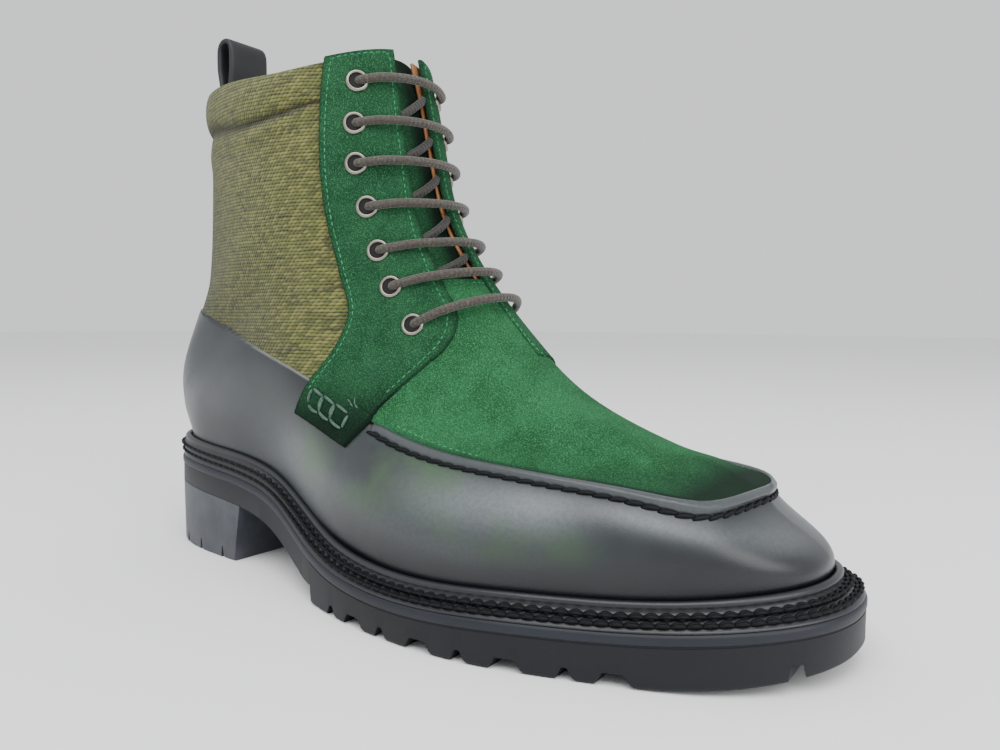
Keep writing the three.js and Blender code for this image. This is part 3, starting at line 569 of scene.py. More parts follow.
def tube(path, radius, sides=8, squash=1.0, normals=None, caps=True):
    """Points and faces of a round cord along a path; squash flattens it along the normals."""
    n = len(path)
    radius = np.broadcast_to(np.asarray(radius, float), (n,))
    tangent = unit(np.gradient(path, axis=0))
    if normals is None:
        normal = np.zeros_like(path)
        seed = np.array([0.0, 0.0, 1.0]) if abs(tangent[0][2]) < 0.9 else np.array([1.0, 0, 0])
        normal[0] = unit(seed - tangent[0] * (seed @ tangent[0]))
        for i in range(1, n):
            normal[i] = unit(normal[i - 1] - tangent[i] * (normal[i - 1] @ tangent[i]))
    else:
        normal = unit(normals - tangent * np.sum(normals * tangent, -1, keepdims=True))
    across = np.cross(tangent, normal)
    angle = np.linspace(0, 2 * math.pi, sides, endpoint=False)
    c = np.cos(angle)[None, :, None]
    s = np.sin(angle)[None, :, None]
    r = radius[:, None, None]
    ring = path[:, None] + r * (across[:, None] * c + normal[:, None] * s * squash)
    points = ring.reshape(-1, 3)
    faces = []
    for i in range(n - 1):
        for j in range(sides):
            k = (j + 1) % sides
            faces.append((i * sides + j, i * sides + k, (i + 1) * sides + k, (i + 1) * sides + j))
    if caps:
        faces.append(tuple(range(sides - 1, -1, -1)))
        faces.append(tuple((n - 1) * sides + j for j in range(sides)))
    return points, faces


class Many:
    """Small pieces gathered into one mesh."""

    def __init__(self):
        self.points = []
        self.faces = []
        self.count = 0

    def add(self, points, faces):
        self.points.append(np.asarray(points, float))
        self.faces += [tuple(int(i) + self.count for i in f) for f in faces]
        self.count += len(points)

    def make(self, name, material, replaces=()):
        points = np.vstack(self.points)
        return new_mesh(name, points, self.faces, material, replaces, merge=False)


def stitch(many, a, b, normal, radius, rise, sides=6, slant=0.0):
    """One stitch from hole to hole, bowed over the surface."""
    t = np.linspace(0, 1, 7)
    bow = np.sin(math.pi * t) ** 0.6
    path = a[None] * (1 - t)[:, None] + b[None] * t[:, None] + normal[None] * (rise * bow - 0.25)[:, None]
    path = path + np.cross(normal, unit(b - a))[None] * (slant * (t - 0.5))[:, None]
    width = radius * (0.72 + 0.28 * np.sin(math.pi * t))
    many.add(*tube(path, width, sides, 0.8, np.tile(normal, (7, 1))))


def stitch_line(many, line, normals, pitch, gap, radius, rise, slant=0.0):
    """A row of stitches along a line of points."""
    full = resample(np.hstack([line, normals]), pitch)
    for p, q in zip(full[:-1], full[1:]):
        a, b = p[:3], q[:3]
        t = gap / 2
        start, end = a * (1 - t) + b * t, b * (1 - t) + a * t
        stitch(many, start, end, unit(p[3:] + q[3:]), radius, rise, slant=slant)


# Materials.
def linear(hex_colour):
    value = [int(hex_colour[i : i + 2], 16) / 255 for i in (1, 3, 5)]
    return [c / 12.92 if c < 0.04045 else ((c + 0.055) / 1.055) ** 2.4 for c in value] + [1.0]


class Shader:
    """A material's nodes, added one by one."""

    def __init__(self, name, colour, roughness, **values):
        self.material = bpy.data.materials.new(name)
        self.material.use_nodes = True
        self.nodes = self.material.node_tree.nodes
        self.links = self.material.node_tree.links
        self.main = self.nodes["Principled BSDF"]
        self.main.inputs["Base Color"].default_value = linear(colour)
        self.main.inputs["Roughness"].default_value = roughness
        self.material.diffuse_color = linear(colour)
        for key, value in values.items():
            self.main.inputs[key.replace("_", " ")].default_value = value
        self.place = None

    def node(self, kind, inputs=None, **settings):
        made = self.nodes.new("ShaderNode" + kind)
        for key, value in settings.items():
            setattr(made, key, value)
        for key, value in (inputs or {}).items():
            self.put(made, key, value)
        return made

    def put(self, node, key, value):
        socket = node.inputs[key]
        if isinstance(value, bpy.types.NodeSocket):
            self.links.new(value, socket)
        else:
            socket.default_value = value

    def position(self):
        if self.place is None:
            self.place = self.node("TexCoord").outputs["Object"]
        return self.place

    def noise(self, scale, detail=4.0, roughness=0.6, stretch=None, distortion=0.0):
        where = self.position()
        if stretch:
            where = self.node("Mapping", {"Vector": where, "Scale": stretch}).outputs[0]
        made = self.node(
            "TexNoise",
            {
                "Vector": where, "Scale": scale, "Detail": detail,
                "Roughness": roughness, "Distortion": distortion,
            },
        )
        return made.outputs["Fac"]

    def math(self, kind, a, b=0.0, c=0.0):
        made = self.node("Math", operation=kind)
        self.put(made, 0, a)
        self.put(made, 1, b)
        self.put(made, 2, c)
        return made.outputs[0]

    def ramp(self, value, low, high, to_low=0.0, to_high=1.0):
        made = self.node(
            "MapRange",
            {"Value": value, "From Min": low, "From Max": high, "To Min": to_low, "To Max": to_high},
            interpolation_type="SMOOTHSTEP",
        )
        return made.outputs[0]

    def mix(self, share, a, b, blend="MIX"):
        made = self.node("Mix", data_type="RGBA", blend_type=blend)
        self.put(made, 0, share)
        for key, value in ((6, a), (7, b)):
            self.put(made, key, linear(value) if isinstance(value, str) else value)
        return made.outputs[2]

    def attribute(self, name):
        return self.node("Attribute", attribute_name=name).outputs["Fac"]

    def bump(self, height, strength, distance, base=None):
        made = self.node("Bump", {"Height": height, "Strength": strength, "Distance": distance})
        if base is not None:
            self.links.new(base, made.inputs["Normal"])
        return made.outputs[0]

    def set(self, **sockets):
        for key, value in sockets.items():
            self.put(self.main, key.replace("_", " "), value)
        return self.material


def suede(name, colour, light, dark, dark_tone_and_shade):
    s = Shader(name, colour, 0.95)
    cloud = s.noise(60, 4, 0.6)
    fine = s.noise(2100, 2, 0.8)
    nap = s.noise(2600, 2, 0.8)
    tone = s.mix(s.ramp(cloud, 0.35, 0.7, 0.0, 0.6), colour, dark)
    tone = s.mix(s.ramp(fine, 0.5, 0.68, 0.0, 0.6), tone, light)
    tone = s.mix(s.ramp(fine, 0.48, 0.34, 0.0, 0.65), tone, dark)
    # Darkening by share: painted shadow on the tongue; darker edges and low parts on the apron and stays.
    tone = s.mix(s.attribute("darkening_and_painted_shade"), tone, dark_tone_and_shade)
    low = s.bump(fine, 0.7, 0.0006)
    high = s.bump(nap, 0.6, 0.0004, low)
    return s.set(Base_Color=tone, Normal=high, Specular_IOR_Level=0.1)


def upper_leather():
    """Leather: light grey-green where a painted sheen (painted highlight) lies on it, navy-black low down and
    over the toe.
    """
    s = Shader("leather_with_painted_sheen", "#2b3133", 0.42)
    cloud = s.noise(22, 4, 0.55, distortion=0.3)
    speck = s.noise(700, 4, 0.8)
    base = s.mix(s.ramp(cloud, 0.36, 0.64), "#232a2b", "#191e23")
    # Painted highlight: the sheen share lightens the leather towards light grey, broken up by cloud and speck
    # noise.
    painted_sheen = s.math("MULTIPLY", s.attribute("painted_sheen"), s.ramp(cloud, 0.25, 0.55, 0.7, 1.0))
    painted_sheen = s.math("MULTIPLY", painted_sheen, s.ramp(speck, 0.35, 0.6, 0.75, 1.0))
    base = s.mix(painted_sheen, base, "#676c6f")
    green = s.math("MULTIPLY", s.attribute("green"), s.ramp(s.noise(45, 4, 0.6), 0.35, 0.6))
    base = s.mix(green, base, "#3a5834")
    # Darker towards navy-black by the darkening share: low down, over the toe, at a low corner by the toe and
    # towards the heel.
    base = s.mix(s.attribute("darkening_and_painted_shade"), base, "#080a10")
    base = s.mix(s.attribute("skived"), base, "#8b8e86")
    bump = s.bump(s.noise(1500, 3, 0.6), 0.16, 0.0004)
    bump = s.bump(s.noise(4200, 2, 0.5), 0.12, 0.0002, bump)
    rough = s.ramp(s.noise(40, 4, 0.6), 0.3, 0.7, 0.33, 0.43)
    return s.set(
        Base_Color=base, Normal=bump, Roughness=rough,
        Specular_IOR_Level=0.4, Coat_Weight=0.2, Coat_Roughness=0.28,
    )


def plain_leather(name, colour, dark, roughness, grain_scale=1300, coat=0.15):
    s = Shader(name, colour, roughness)
    tone = s.mix(s.ramp(s.noise(60, 4, 0.6), 0.35, 0.65), colour, dark)
    bump = s.bump(s.noise(grain_scale, 3, 0.6), 0.2, 0.0004)
    return s.set(Base_Color=tone, Normal=bump, Coat_Weight=coat, Coat_Roughness=0.3)


def rubber(name, colour, dark, roughness, coat=0.0):
    s = Shader(name, colour, roughness)
    tone = s.mix(s.ramp(s.noise(45, 5, 0.65), 0.35, 0.7), colour, dark)
    bump = s.bump(s.noise(900, 4, 0.65), 0.12, 0.0004)
    return s.set(Base_Color=tone, Normal=bump, Coat_Weight=coat, Coat_Roughness=0.35, Specular_IOR_Level=0.35)


def thread(name, colour, dark):
    s = Shader(name, colour, 0.6)
    tone = s.mix(s.ramp(s.noise(1500, 3, 0.6), 0.35, 0.65), colour, dark)
    return s.set(Base_Color=tone, Normal=s.bump(s.noise(4000, 2, 0.6), 0.4, 0.0002), Specular_IOR_Level=0.2)


def canvas():
    """Ribbed cloth: level ribs of slanting threads, from the cloth's own two places in millimetres."""
    s = Shader("rib_canvas", "#77784f", 0.95)
    level = s.attribute("cloth_v")
    around = s.attribute("cloth_u")
    wander = s.noise(60, 3, 0.5)
    level = s.math("ADD", level, s.math("MULTIPLY", wander, 0.9))
    rib = s.math("DIVIDE", level, 1.3)
    row = s.math("FLOOR", rib)
    within = s.math("SUBTRACT", rib, row)
    arch = s.math("SINE", s.math("MULTIPLY", within, math.pi))
    lean = s.math("MULTIPLY", within, 0.55)
    odd = s.math("MULTIPLY", s.math("MODULO", row, 2.0), 0.5)
    strand = s.math("ADD", s.math("ADD", s.math("DIVIDE", around, 1.25), lean), odd)
    thread_in = s.math("FRACT", strand)
    hump = s.math("SINE", s.math("MULTIPLY", thread_in, math.pi))
    crest = s.math("ADD", s.math("MULTIPLY", hump, 0.75), 0.25)
    height = s.math("MULTIPLY", s.math("POWER", arch, 0.7), crest)
    cell = s.node("CombineXYZ", {0: s.math("FLOOR", strand), 1: row}).outputs[0]
    chance = s.node("TexWhiteNoise", {"Vector": cell}, noise_dimensions="2D").outputs["Value"]
    drawn = s.node("CombineXYZ", {0: s.math("MULTIPLY", around, 0.09), 1: s.math("MULTIPLY", level, 0.7)})
    streak = s.node(
        "TexNoise", {"Vector": drawn.outputs[0], "Scale": 1.0, "Detail": 3.0, "Roughness": 0.6},
    ).outputs["Fac"]
    tone = s.mix(s.ramp(streak, 0.42, 0.7), "#5f6436", "#3d3f28")
    tone = s.mix(s.ramp(chance, 0.3, 1.0, 0.0, 0.6), tone, "#85834b")
    # Painted shade: the grooves between the ribs and threads are darkened.
    tone = s.mix(s.ramp(height, 0.05, 0.5, 0.85, 0.0), tone, "#1b1b12")
    # Darker by the darkening share: painted shade in the crease under the collar roll, and darker at the
    # back, low down and in a band at mid height.
    tone = s.mix(s.attribute("darkening_and_painted_shade"), tone, "#231f17")
    bump = s.bump(height, 0.9, 0.0005)
    return s.set(Base_Color=tone, Normal=bump, Sheen_Weight=0.15, Specular_IOR_Level=0.2)


def metal():
    s = Shader("nickel", "#8f8b81", 0.3, Metallic=1.0)
    return s.set(Normal=s.bump(s.noise(500, 3, 0.6), 0.08, 0.0002))


def lace_cord():
    s = Shader("waxed_cord", "#6a6157", 0.7)
    along = s.attribute("along")
    around = s.attribute("around")
    slant = s.math("ADD", s.math("MULTIPLY", along, 0.9), around)
    back = s.math("SUBTRACT", s.math("MULTIPLY", along, 0.9), around)
    a = s.math("SINE", s.math("MULTIPLY", slant, 2 * math.pi))
    b = s.math("SINE", s.math("MULTIPLY", back, 2 * math.pi))
    weave = s.math("MULTIPLY", a, b)
    fuzz = s.noise(1400, 3, 0.7)
    tone = s.mix(s.ramp(weave, -0.8, 0.8), "#2e2923", "#3d372f")
    tone = s.mix(s.ramp(fuzz, 0.5, 0.68, 0.0, 0.65), tone, "#6a6154")
    # Painted shadow: the lace's inside runs between the stays are darkened.
    tone = s.mix(s.attribute("darkening_and_painted_shade"), tone, "#12100e")
    bump = s.bump(weave, 0.5, 0.0003)
    bump = s.bump(fuzz, 0.5, 0.0003, bump)
    return s.set(Base_Color=tone, Normal=bump, Sheen_Weight=0.2)


LOOK = {
    "suede": suede("apron_suede", "#2b623e", "#4f9563", "#15391f", "#19241f"),
    "stay": suede("stay_suede", "#244f33", "#47855a", "#10301e", "#0b1410"),
    "leather": upper_leather(),
    "canvas": canvas(),
    "welt": plain_leather("welt_leather", "#11141a", "#0a0c11", 0.42, coat=0.15),
    "lining": plain_leather("tan_lining", "#8f6239", "#744823", 0.65, coat=0.0),
    "strap": plain_leather("strap_leather", "#131518", "#0c0d10", 0.55, coat=0.0),
    "tread": rubber("tread_rubber", "#070a12", "#05070c", 0.55),
    "band": rubber("band_rubber", "#1a1e26", "#14171e", 0.5, 0.0),
    "heel": rubber("heel_rubber", "#45484f", "#34373d", 0.5),
    "hole": Shader("painted_hole_shadow", "#0b0b0c", 0.9).material,
    "metal": metal(),
    "lace": lace_cord(),
    "green_thread": thread("green_thread", "#3f9468", "#2a6a49"),
    "dark_thread": thread("dark_thread", "#0b0d12", "#050608"),
    "grey_thread": thread("grey_thread", "#526d5f", "#34493f"),
}


# Upper panels.
def side_grid(side, us, vs):
    """u and v of a grid that is the same for every rib, flat, with its triangles."""
    v, u = np.meshgrid(vs, us, indexing="ij")
    return np.stack([u.ravel(), v.ravel()], -1), triangles(grid_faces(len(vs), len(us)))


def edge_round(distance, width):
    t = np.clip(distance / width, 0, 1)
    return np.sqrt(np.maximum(0, 1 - (1 - t) ** 2))


def make_apron(threads):
    """Suede apron over the ridge, from the toe up under the stays."""
    vs = steps(0, (0.2, 60), (0.672, 130))
    ts = np.linspace(0, 1, 90)
    points, faces, dim = [], [], []
    n = 0
    for side in (OUTER, INNER):
        v, t = np.meshgrid(vs, ts, indexing="ij")
        reach = strip_line(strip_in, side, v) + 0.012
        reach = np.where(v > STRIP_END, reach - 0.30 * smooth(STRIP_END, 0.66, v), reach)
        u = reach * t
        sides = np.full(v.shape, side)
        p0 = upper_point(sides, u, v)
        d = np.linalg.norm(p0 - upper_point(sides, reach, v), axis=-1)
        lift = 0.1 + 0.8 * edge_round(d, 1.4)
        p = offset_point(sides, u, v, lift)
        # Darker towards the toe tip, along the apron's edge and low down.
        toe = 1 - smooth(3, 38, along_x(0.93) - p0[..., 0])
        rim = (1 - smooth(0, 3.5, d)) * (1 - smooth(0.4, 0.55, v))
        low = (1 - smooth(4, 24, d)) * (1 - smooth(0.12, 0.5, v))
        darkening_and_painted_shade = np.clip(0.72 * toe**1.6 + 0.65 * rim + 0.35 * low, 0, 0.93)
        quads = grid_faces(len(vs), len(ts), n)
        faces.append(quads if side > 0 else quads[:, ::-1])
        points.append(p.reshape(-1, 3))
        dim.append(darkening_and_painted_shade.ravel())
        n += p.shape[0] * p.shape[1]
    for side, last in ((OUTER, 0.37), (INNER, 0.09)):
        w = np.linspace(0.5, last, 200)
        s = np.full(w.shape, side)
        u = strip_line(strip_in, side, w) - 0.028
        line = offset_point(s, u, w, 0.85)
        stitch_line(threads, line, upper_normal(s, u, w), 2.6, 0.3, 0.22, 0.28)
    across = np.linspace(-0.25, 0.2, 40)
    s = np.where(across < 0, OUTER, INNER)
    w = 0.66
    line = offset_point(s, np.abs(across), w, 0.9)
    stitch_line(threads, line, upper_normal(s, np.abs(across), w), 2.5, 0.34, 0.25, 0.36)
    return new_mesh(
        "apron", np.vstack(points), np.vstack(faces), LOOK["suede"],
        attributes={"darkening_and_painted_shade": np.concatenate(dim)},
    )


def spot(u, v, at_u, at_v, wide, long):
    return np.exp(-(((u - at_u) / wide) ** 2) - ((v - at_v) / long) ** 2)


def leather_paint(p, u, v, d):
    """Shares of darkening, of painted sheen (a light grey painted highlight), of green and of the paler cut
    edge.
    """
    above = p[:, 2] - edge_height(p[:, 0])
    # Darkening: towards the sole, over the toe, at a low corner by the toe and towards the heel.
    low = smooth(25, 4, above)
    toe = smooth(0.14, 0.02, v) * smooth(0.62, 0.54, u)
    corner = spot(u, v, 0.9, 0.1, 0.09, 0.05)
    rear = smooth(0.68, 0.85, v)
    darkening_and_painted_shade = 0.88 * low**1.3 * smooth(0.68, 0.5, v) + 0.4 * low * rear + 0.5 * toe + 0.6 * corner
    darkening_and_painted_shade = np.clip(darkening_and_painted_shade, 0, 0.93)
    # Painted highlight: spots of light grey sheen along the side under the strip, over the toe and low on the
    # quarter and heel.
    side = smooth(0.2, 0.3, v) * smooth(0.5, 0.36, v) * np.exp(-(((u - 0.74) / 0.12) ** 2))
    painted_sheen = 0.85 * side + 0.8 * spot(u, v, 0.67, 0.15, 0.07, 0.08)
    painted_sheen += spot(u, v, 0.8, 0.04, 0.14, 0.045) + 0.85 * spot(u, v, 0.9, 0.62, 0.09, 0.06)
    painted_sheen += 0.5 * spot(u, v, 0.93, 0.36, 0.05, 0.09) + 0.35 * spot(u, v, 0.88, 0.5, 0.08, 0.08)
    painted_sheen += 0.3 * spot(u, v, 0.85, 0.95, 0.1, 0.1)
    green = 0.7 * spot(u, v, 0.88, 0.349, 0.08, 0.045) + 0.6 * spot(u, v, 0.86, 0.27, 0.07, 0.04)
    green += 0.6 * spot(u, v, 0.844, 0.61, 0.07, 0.05) + 0.6 * spot(u, v, 0.66, 0.427, 0.09, 0.07)
    green += 0.5 * spot(u, v, 0.8, 0.5, 0.1, 0.05)
    skived = 0.45 * smooth(1.1, 0.4, d) * smooth(0.55, 0.6, v) * smooth(0.95, 0.75, v)
    return darkening_and_painted_shade, np.clip(painted_sheen, 0, 1), np.clip(green, 0, 1), skived


def soft_offset(side, u, v, lift):
    """Points off the upper, evened along v over the back of the heel."""
    points = offset_point(side, u, v, lift)
    reach = 0.013 * smooth(0.84, 0.93, v) * smooth(1.22, 1.08, v) * smooth(0.55, 0.68, u)
    near = reach > 0
    total = 0
    for k in range(-5, 6):
        weight = (6 - abs(k)) / 36
        total = total + weight * offset_point(side[near], u[near], v[near] + k * reach[near], lift[near])
    points[near] = total
    return points


def make_quarter():
    """Leather panel from the apron's strip and the canvas down to the welt."""
    vs = steps(0, (0.2, 70), (1.0, 200), (1.45, 90))
    us = np.linspace(0.42, 1, 110)
    made = []
    count = 0
    for side in (OUTER, INNER):
        data, faces = side_grid(side, us, vs)
        if side < 0:
            faces = faces[:, ::-1]
        u, v = data.T
        sides = np.full(u.shape, side)
        p = upper_point(sides, u, v)
        strip = (u - 0.5 * (strip_line(strip_in, side, v) + strip_line(strip_out, side, v))) * 70
        w = smooth(0.5, 0.54, v)
        field = strip * (1 - w) + (leather_top(p[:, 0]) - p[:, 2]) * w
        data = np.hstack([data, field[:, None]])
        data, faces = clip(data, faces, field)
        u, v, d = data.T
        sides = np.full(u.shape, side)
        p = upper_point(sides, u, v)
        thick = 0.85 * smooth(0.5, 0.6, v)
        q = soft_offset(sides, u, v, 0.1 + thick * edge_round(d, 0.8))
        made.append((q, faces + count, *leather_paint(p, u, v, d)))
        count += len(q)
    keys = {"darkening_and_painted_shade": 2, "painted_sheen": 3, "green": 4, "skived": 5}
    return new_mesh(
        "quarter", np.vstack([m[0] for m in made]), np.vstack([m[1] for m in made]),
        LOOK["leather"], replaces=["upper"],
        attributes={k: np.concatenate([m[i] for m in made]) for k, i in keys.items()},
    )


def collar_roll(u, v):
    """Rolled collar over a creased groove in the canvas."""
    foot = 1.7 + 0.17 * smooth(0.4, 0.76, u)
    swell = np.sin(np.pi * np.clip((v - foot) / (2.0 - foot), 0, 1)) ** 0.6
    roll = np.where(v < foot, 0, 2.0 * swell * smooth(0.27, 0.45, u))
    groove = -0.9 * np.exp(-(((v - foot + 0.004) / 0.02) ** 2)) * smooth(0.24, 0.34, u)
    under = 0.7 * np.exp(-(((v - foot + 0.075) / 0.035) ** 2)) * smooth(0.3, 0.5, u)
    return roll + groove + under


def make_canvas():
    """Canvas shaft from under the stays to the back, turned over the rim."""
    vs = steps(0.58, (1.4, 130), (1.68, 40), (2, 90))
    us = np.linspace(0.25, 1, 120)
    made = []
    count = 0
    for side in (OUTER, INNER):
        data, faces = side_grid(side, us, vs)
        if side < 0:
            faces = faces[:, ::-1]
        u, v = data.T
        sides = np.full(u.shape, side)
        p = upper_point(sides, u, v)
        field = p[:, 2] - leather_top(p[:, 0]) + 2.5
        data, faces = clip(data, faces, field)
        u, v = data.T
        sides = np.full(u.shape, side)
        p = offset_point(sides, u, v, 0.2 + collar_roll(u, v))
        # Painted shade in the crease under the collar roll; darker at the back, low down and in a band at mid
        # height.
        fold_shade = np.exp(-(((v - 1.7 - 0.17 * smooth(0.4, 0.76, u) + 0.01) / 0.026) ** 2))
        back = smooth(-80, -128, p[:, 0])
        low = smooth(140, 92, p[:, 2]) * smooth(-20, -75, p[:, 0])
        mid = np.exp(-(((p[:, 2] - 138) / 22) ** 2)) * smooth(-45, -95, p[:, 0])
        darkening_and_painted_shade = np.clip(0.75 * fold_shade + 0.35 * back + 0.4 * low + 0.2 * mid, 0, 0.85)
        around = 44 * np.arctan2(p[:, 1], -(p[:, 0] + 85))
        made.append((p, faces + count, darkening_and_painted_shade, around, p[:, 2]))
        count += len(p)
    keys = {"darkening_and_painted_shade": 2, "cloth_u": 3, "cloth_v": 4}
    return new_mesh(
        "canvas_shaft", np.vstack([m[0] for m in made]), np.vstack([m[1] for m in made]),
        LOOK["canvas"], attributes={k: np.concatenate([m[i] for m in made]) for k, i in keys.items()},
    )


def make_lining():
    """Lining inside the upper, with the rim band, open along the throat."""
    vs = steps(0, (0.6, 60), (1.4, 70), (2, 50))
    us = np.linspace(0, 1, 70)
    made = Many()
    for side in (OUTER, INNER):
        data, faces = side_grid(side, us, vs)
        u, v = data[:, 0], data[:, 1]
        p = upper_point(side, u, v)
        lace_shadow = throat_outer(v) * BALL - 2.0
        flared = throat_inner(v) * BALL - 0.9 - 2.0 * smooth(1.7, 2, v)
        limit = lace_shadow if side < 0 else flared
        field = side * (p[:, 1] - limit)
        field = np.where(v < 0.64, np.maximum(field, (0.64 - v) * 60), field)
        data, faces = clip(data, faces, field)
        u, v = data[:, 0], data[:, 1]
        sides = np.full(u.shape, side)
        outside = offset_point(sides, u, v, -1.1)
        inside = offset_point(sides, u, v, -2.0)
        points, closed = with_skirt(outside, faces, inside)
        made.add(points, closed)
    return made.make("lining", LOOK["lining"])


def soft_min(a, b, k):
    h = np.clip(0.5 + 0.5 * (b - a) / k, 0, 1)
    return b * (1 - h) + a * h - k * h * (1 - h)


def cut_corners(line, rounds=2):
    """The same line with its corners cut, ends kept."""
    line = np.array(line, float)
    for _ in range(rounds):
        near = line[:-1] * 0.75 + line[1:] * 0.25
        far = line[:-1] * 0.25 + line[1:] * 0.75
        line = np.vstack([line[:1], np.stack([near, far], 1).reshape(-1, 2)[1:-1], line[-1:]])
    return line


def stay_field(side, p, v):
    """Distance in from the stay's outline, rounded where the throat meets the lower front edge."""
    rear = cut_corners(STAY_REAR)
    front = cut_corners(STAY_FRONT[side][:8])
    outline = [(float(along_x(a)), float(up_z(b))) for a, b in [*rear, *front, *STAY_FRONT[side][8:]]]
    limit = (throat_outer(v) if side < 0 else throat_inner(v)) * BALL
    d = polygon_distance(p[:, 0], p[:, 2], outline)
    return soft_min(d, side * (p[:, 1] - limit), 11.0)


def make_stay(side, name, node, threads):
    vs = steps(0.45, (0.8, 150), (2.045, 240))
    us = np.linspace(0.0, 0.86, 150)
    data, faces = side_grid(side, us, vs)
    if side < 0:
        faces = faces[:, ::-1]
    p = upper_point(side, data[:, 0], data[:, 1])
    field = stay_field(side, p, data[:, 1])
    top = 2.035 - data[:, 1]
    field = np.minimum(field, top * 80)
    data = np.hstack([data, field[:, None]])
    data, faces = clip(data, faces, field)
    u, v, d = data.T
    sides = np.full(u.shape, side)
    lift = 0.45 + 1.35 * edge_round(d, 0.9)
    groove = -0.28 * np.exp(-(((d - 2.1) / 0.7) ** 2))
    outside = offset_point(sides, u, v, lift + groove)
    inside = offset_point(sides, u, v, 0.1)
    points, closed = with_skirt(outside, faces, inside)
    height = outside[:, 2]
    # Darker low down and along the stay's edge.
    low = smooth(86, 62, height)
    rim = 1 - smooth(0, 1.6, d)
    darkening_and_painted_shade = np.clip(0.85 * low + 0.5 * rim, 0, 0.9)
    darkening_and_painted_shade = np.concatenate([darkening_and_painted_shade, darkening_and_painted_shade])
    obj = new_mesh(name, points, closed, LOOK["stay"], replaces=[node], merge=False,
                   attributes={"darkening_and_painted_shade": darkening_and_painted_shade})
    for line in contour(data, faces, d, 2.4):
        at = offset_point(side, line[:, 0], line[:, 1], 1.62)
        normals = upper_normal(side, line[:, 0], line[:, 1])
        shown = at[:, 2] > 76
        first = int(np.argmax(~shown)) if not shown.all() else 0
        order = np.roll(np.arange(len(line)), -first)
        runs = np.split(order, np.where(np.diff(shown[order].astype(int)) != 0)[0] + 1)
        for run in runs:
            if len(run) > 6 and shown[run[0]]:
                stitch_line(threads, at[run], normals[run], 2.5, 0.34, 0.25, 0.36)
    return obj


def make_tab_stitches():
    """Three looped hand stitches side by side on each stay's tab, and a small knot in front of them."""
    many = Many()
    for side in (OUTER, INNER):
        for k in range(3):
            v0 = 0.609 - 0.0245 * k
            u0 = 0.652 - 0.01 * k
            wide, tall = 0.0128, 0.042
            bars = [
                ((-0.74, 1), (0.74, 1)), ((-0.74, -1), (0.74, -1)),
                ((-1, -0.8), (-1, 0.8)), ((1, -0.8), (1, 0.8)),
            ]
            for (au, av), (bu, bv) in bars:
                share = np.linspace(0, 1, 9)
                across = au + (bu - au) * share
                along = av + (bv - av) * share
                curve = 1 + 0.06 * np.sin(math.pi * share)
                if au == bu:
                    across = across * curve
                else:
                    along = along * curve
                bow = np.sin(math.pi * share) ** 0.6
                at = offset_point(side, u0 + tall * across, v0 + wide * along, 1.75 + 0.55 * bow)
                many.add(*tube(at, 0.58 * (0.7 + 0.3 * bow), 7))
        for k, (du, dv) in enumerate(((0, 0), (0.014, 0.006), (0.02, -0.006), (0.034, 0.0))):
            u = np.array([0.485 + du, 0.5 + du])
            v = np.array([0.556 + dv, 0.549 + dv])
            at = offset_point(side, u, v, 1.8)
            stitch(many, at[0], at[1], upper_normal(side, u, v)[0], 0.3, 0.35)
    return many.make("tab_stitches", LOOK["grey_thread"])


def make_tongue():
    vs = np.linspace(0.55, 2.03, 120)
    us = np.linspace(-0.34, 0.3, 60)
    v, u = np.meshgrid(vs, us, indexing="ij")
    side = np.where(u < 0, OUTER, INNER)
    lean = 2.5 * smooth(1.72, 2.03, v)
    high = offset_point(side, np.abs(u), v, -2.45 - lean)
    low = offset_point(side, np.abs(u), v, -4.9 - lean)
    quads = grid_faces(len(vs), len(us))
    points, faces = with_skirt(high.reshape(-1, 3), quads, low.reshape(-1, 3))
    y = high[..., 1].ravel()
    # Painted shadow: the tongue darkens towards the far stay, deep in the throat.
    dark = np.clip(0.1 + 0.85 * smooth(-9, 0, y), 0, 0.97)
    return new_mesh("tongue_suede", points, faces, LOOK["stay"], replaces=["tongue"], merge=False,
                    attributes={"darkening_and_painted_shade": np.concatenate([dark, dark])})


def make_piping(threads):
    """Raised leather strip round the apron, with a stitched groove outside it."""
    vs = np.linspace(0, 0.515, 240)
    ts = np.linspace(0, 1, 24)
    signed = np.concatenate([-vs[::-1], vs[1:]])
    v, t = np.meshgrid(signed, ts, indexing="ij")
    side = np.where(v < 0, OUTER, INNER)
    start = strip_line(strip_in, side, np.abs(v))
    end = strip_line(strip_out, side, np.abs(v))
    u = start + t * (end - start)
    profile = table(STRIP_PROFILE, 1)(ts)
    fade = smooth(0.515, 0.5, np.abs(v))
    p = offset_point(side, u, np.abs(v), profile[None, :] * (0.3 + 0.7 * fade))
    base = offset_point(side, u, np.abs(v), 0 * v - 0.4)
    points, faces = with_skirt(p.reshape(-1, 3), grid_faces(len(signed), len(ts)), base.reshape(-1, 3))
    # The whole strip is darkened a little and gets a painted highlight share of 0.4.
    dim = np.full(len(points), 0.2)
    painted_sheen = np.full(len(points), 0.4)
    new_mesh(
        "piping", points, faces, LOOK["leather"], replaces=["apron_piping"], merge=False,
        attributes={"darkening_and_painted_shade": dim, "painted_sheen": painted_sheen},
    )
    w = np.abs(signed)
    side = np.where(signed < 0, OUTER, INNER)
    u = strip_line(strip_out, side, w) + 0.008
    line = offset_point(side, u, w, 0.25)
    stitch_line(threads, line, upper_normal(side, u, w), 4.9, -0.16, 0.74, 0.62, slant=0.9)


# Sole.
def sole_ring(out, z, count=330):
    """One loop round the sole: points at a reach outwards from the last edge and a height."""
    s = np.linspace(0, 1, count)
    rows = []
    for side in (OUTER, INNER):
        p = edge_point(side, s)
        o = edge_outwards(side, s)
        x = p[:, 0]
        q = p + o * np.broadcast_to(out(x), x.shape)[:, None]
        q[:, 2] = z(x, p[:, 2])
        rows.append(q)
    return np.vstack([rows[0], rows[1][-2:0:-1]])


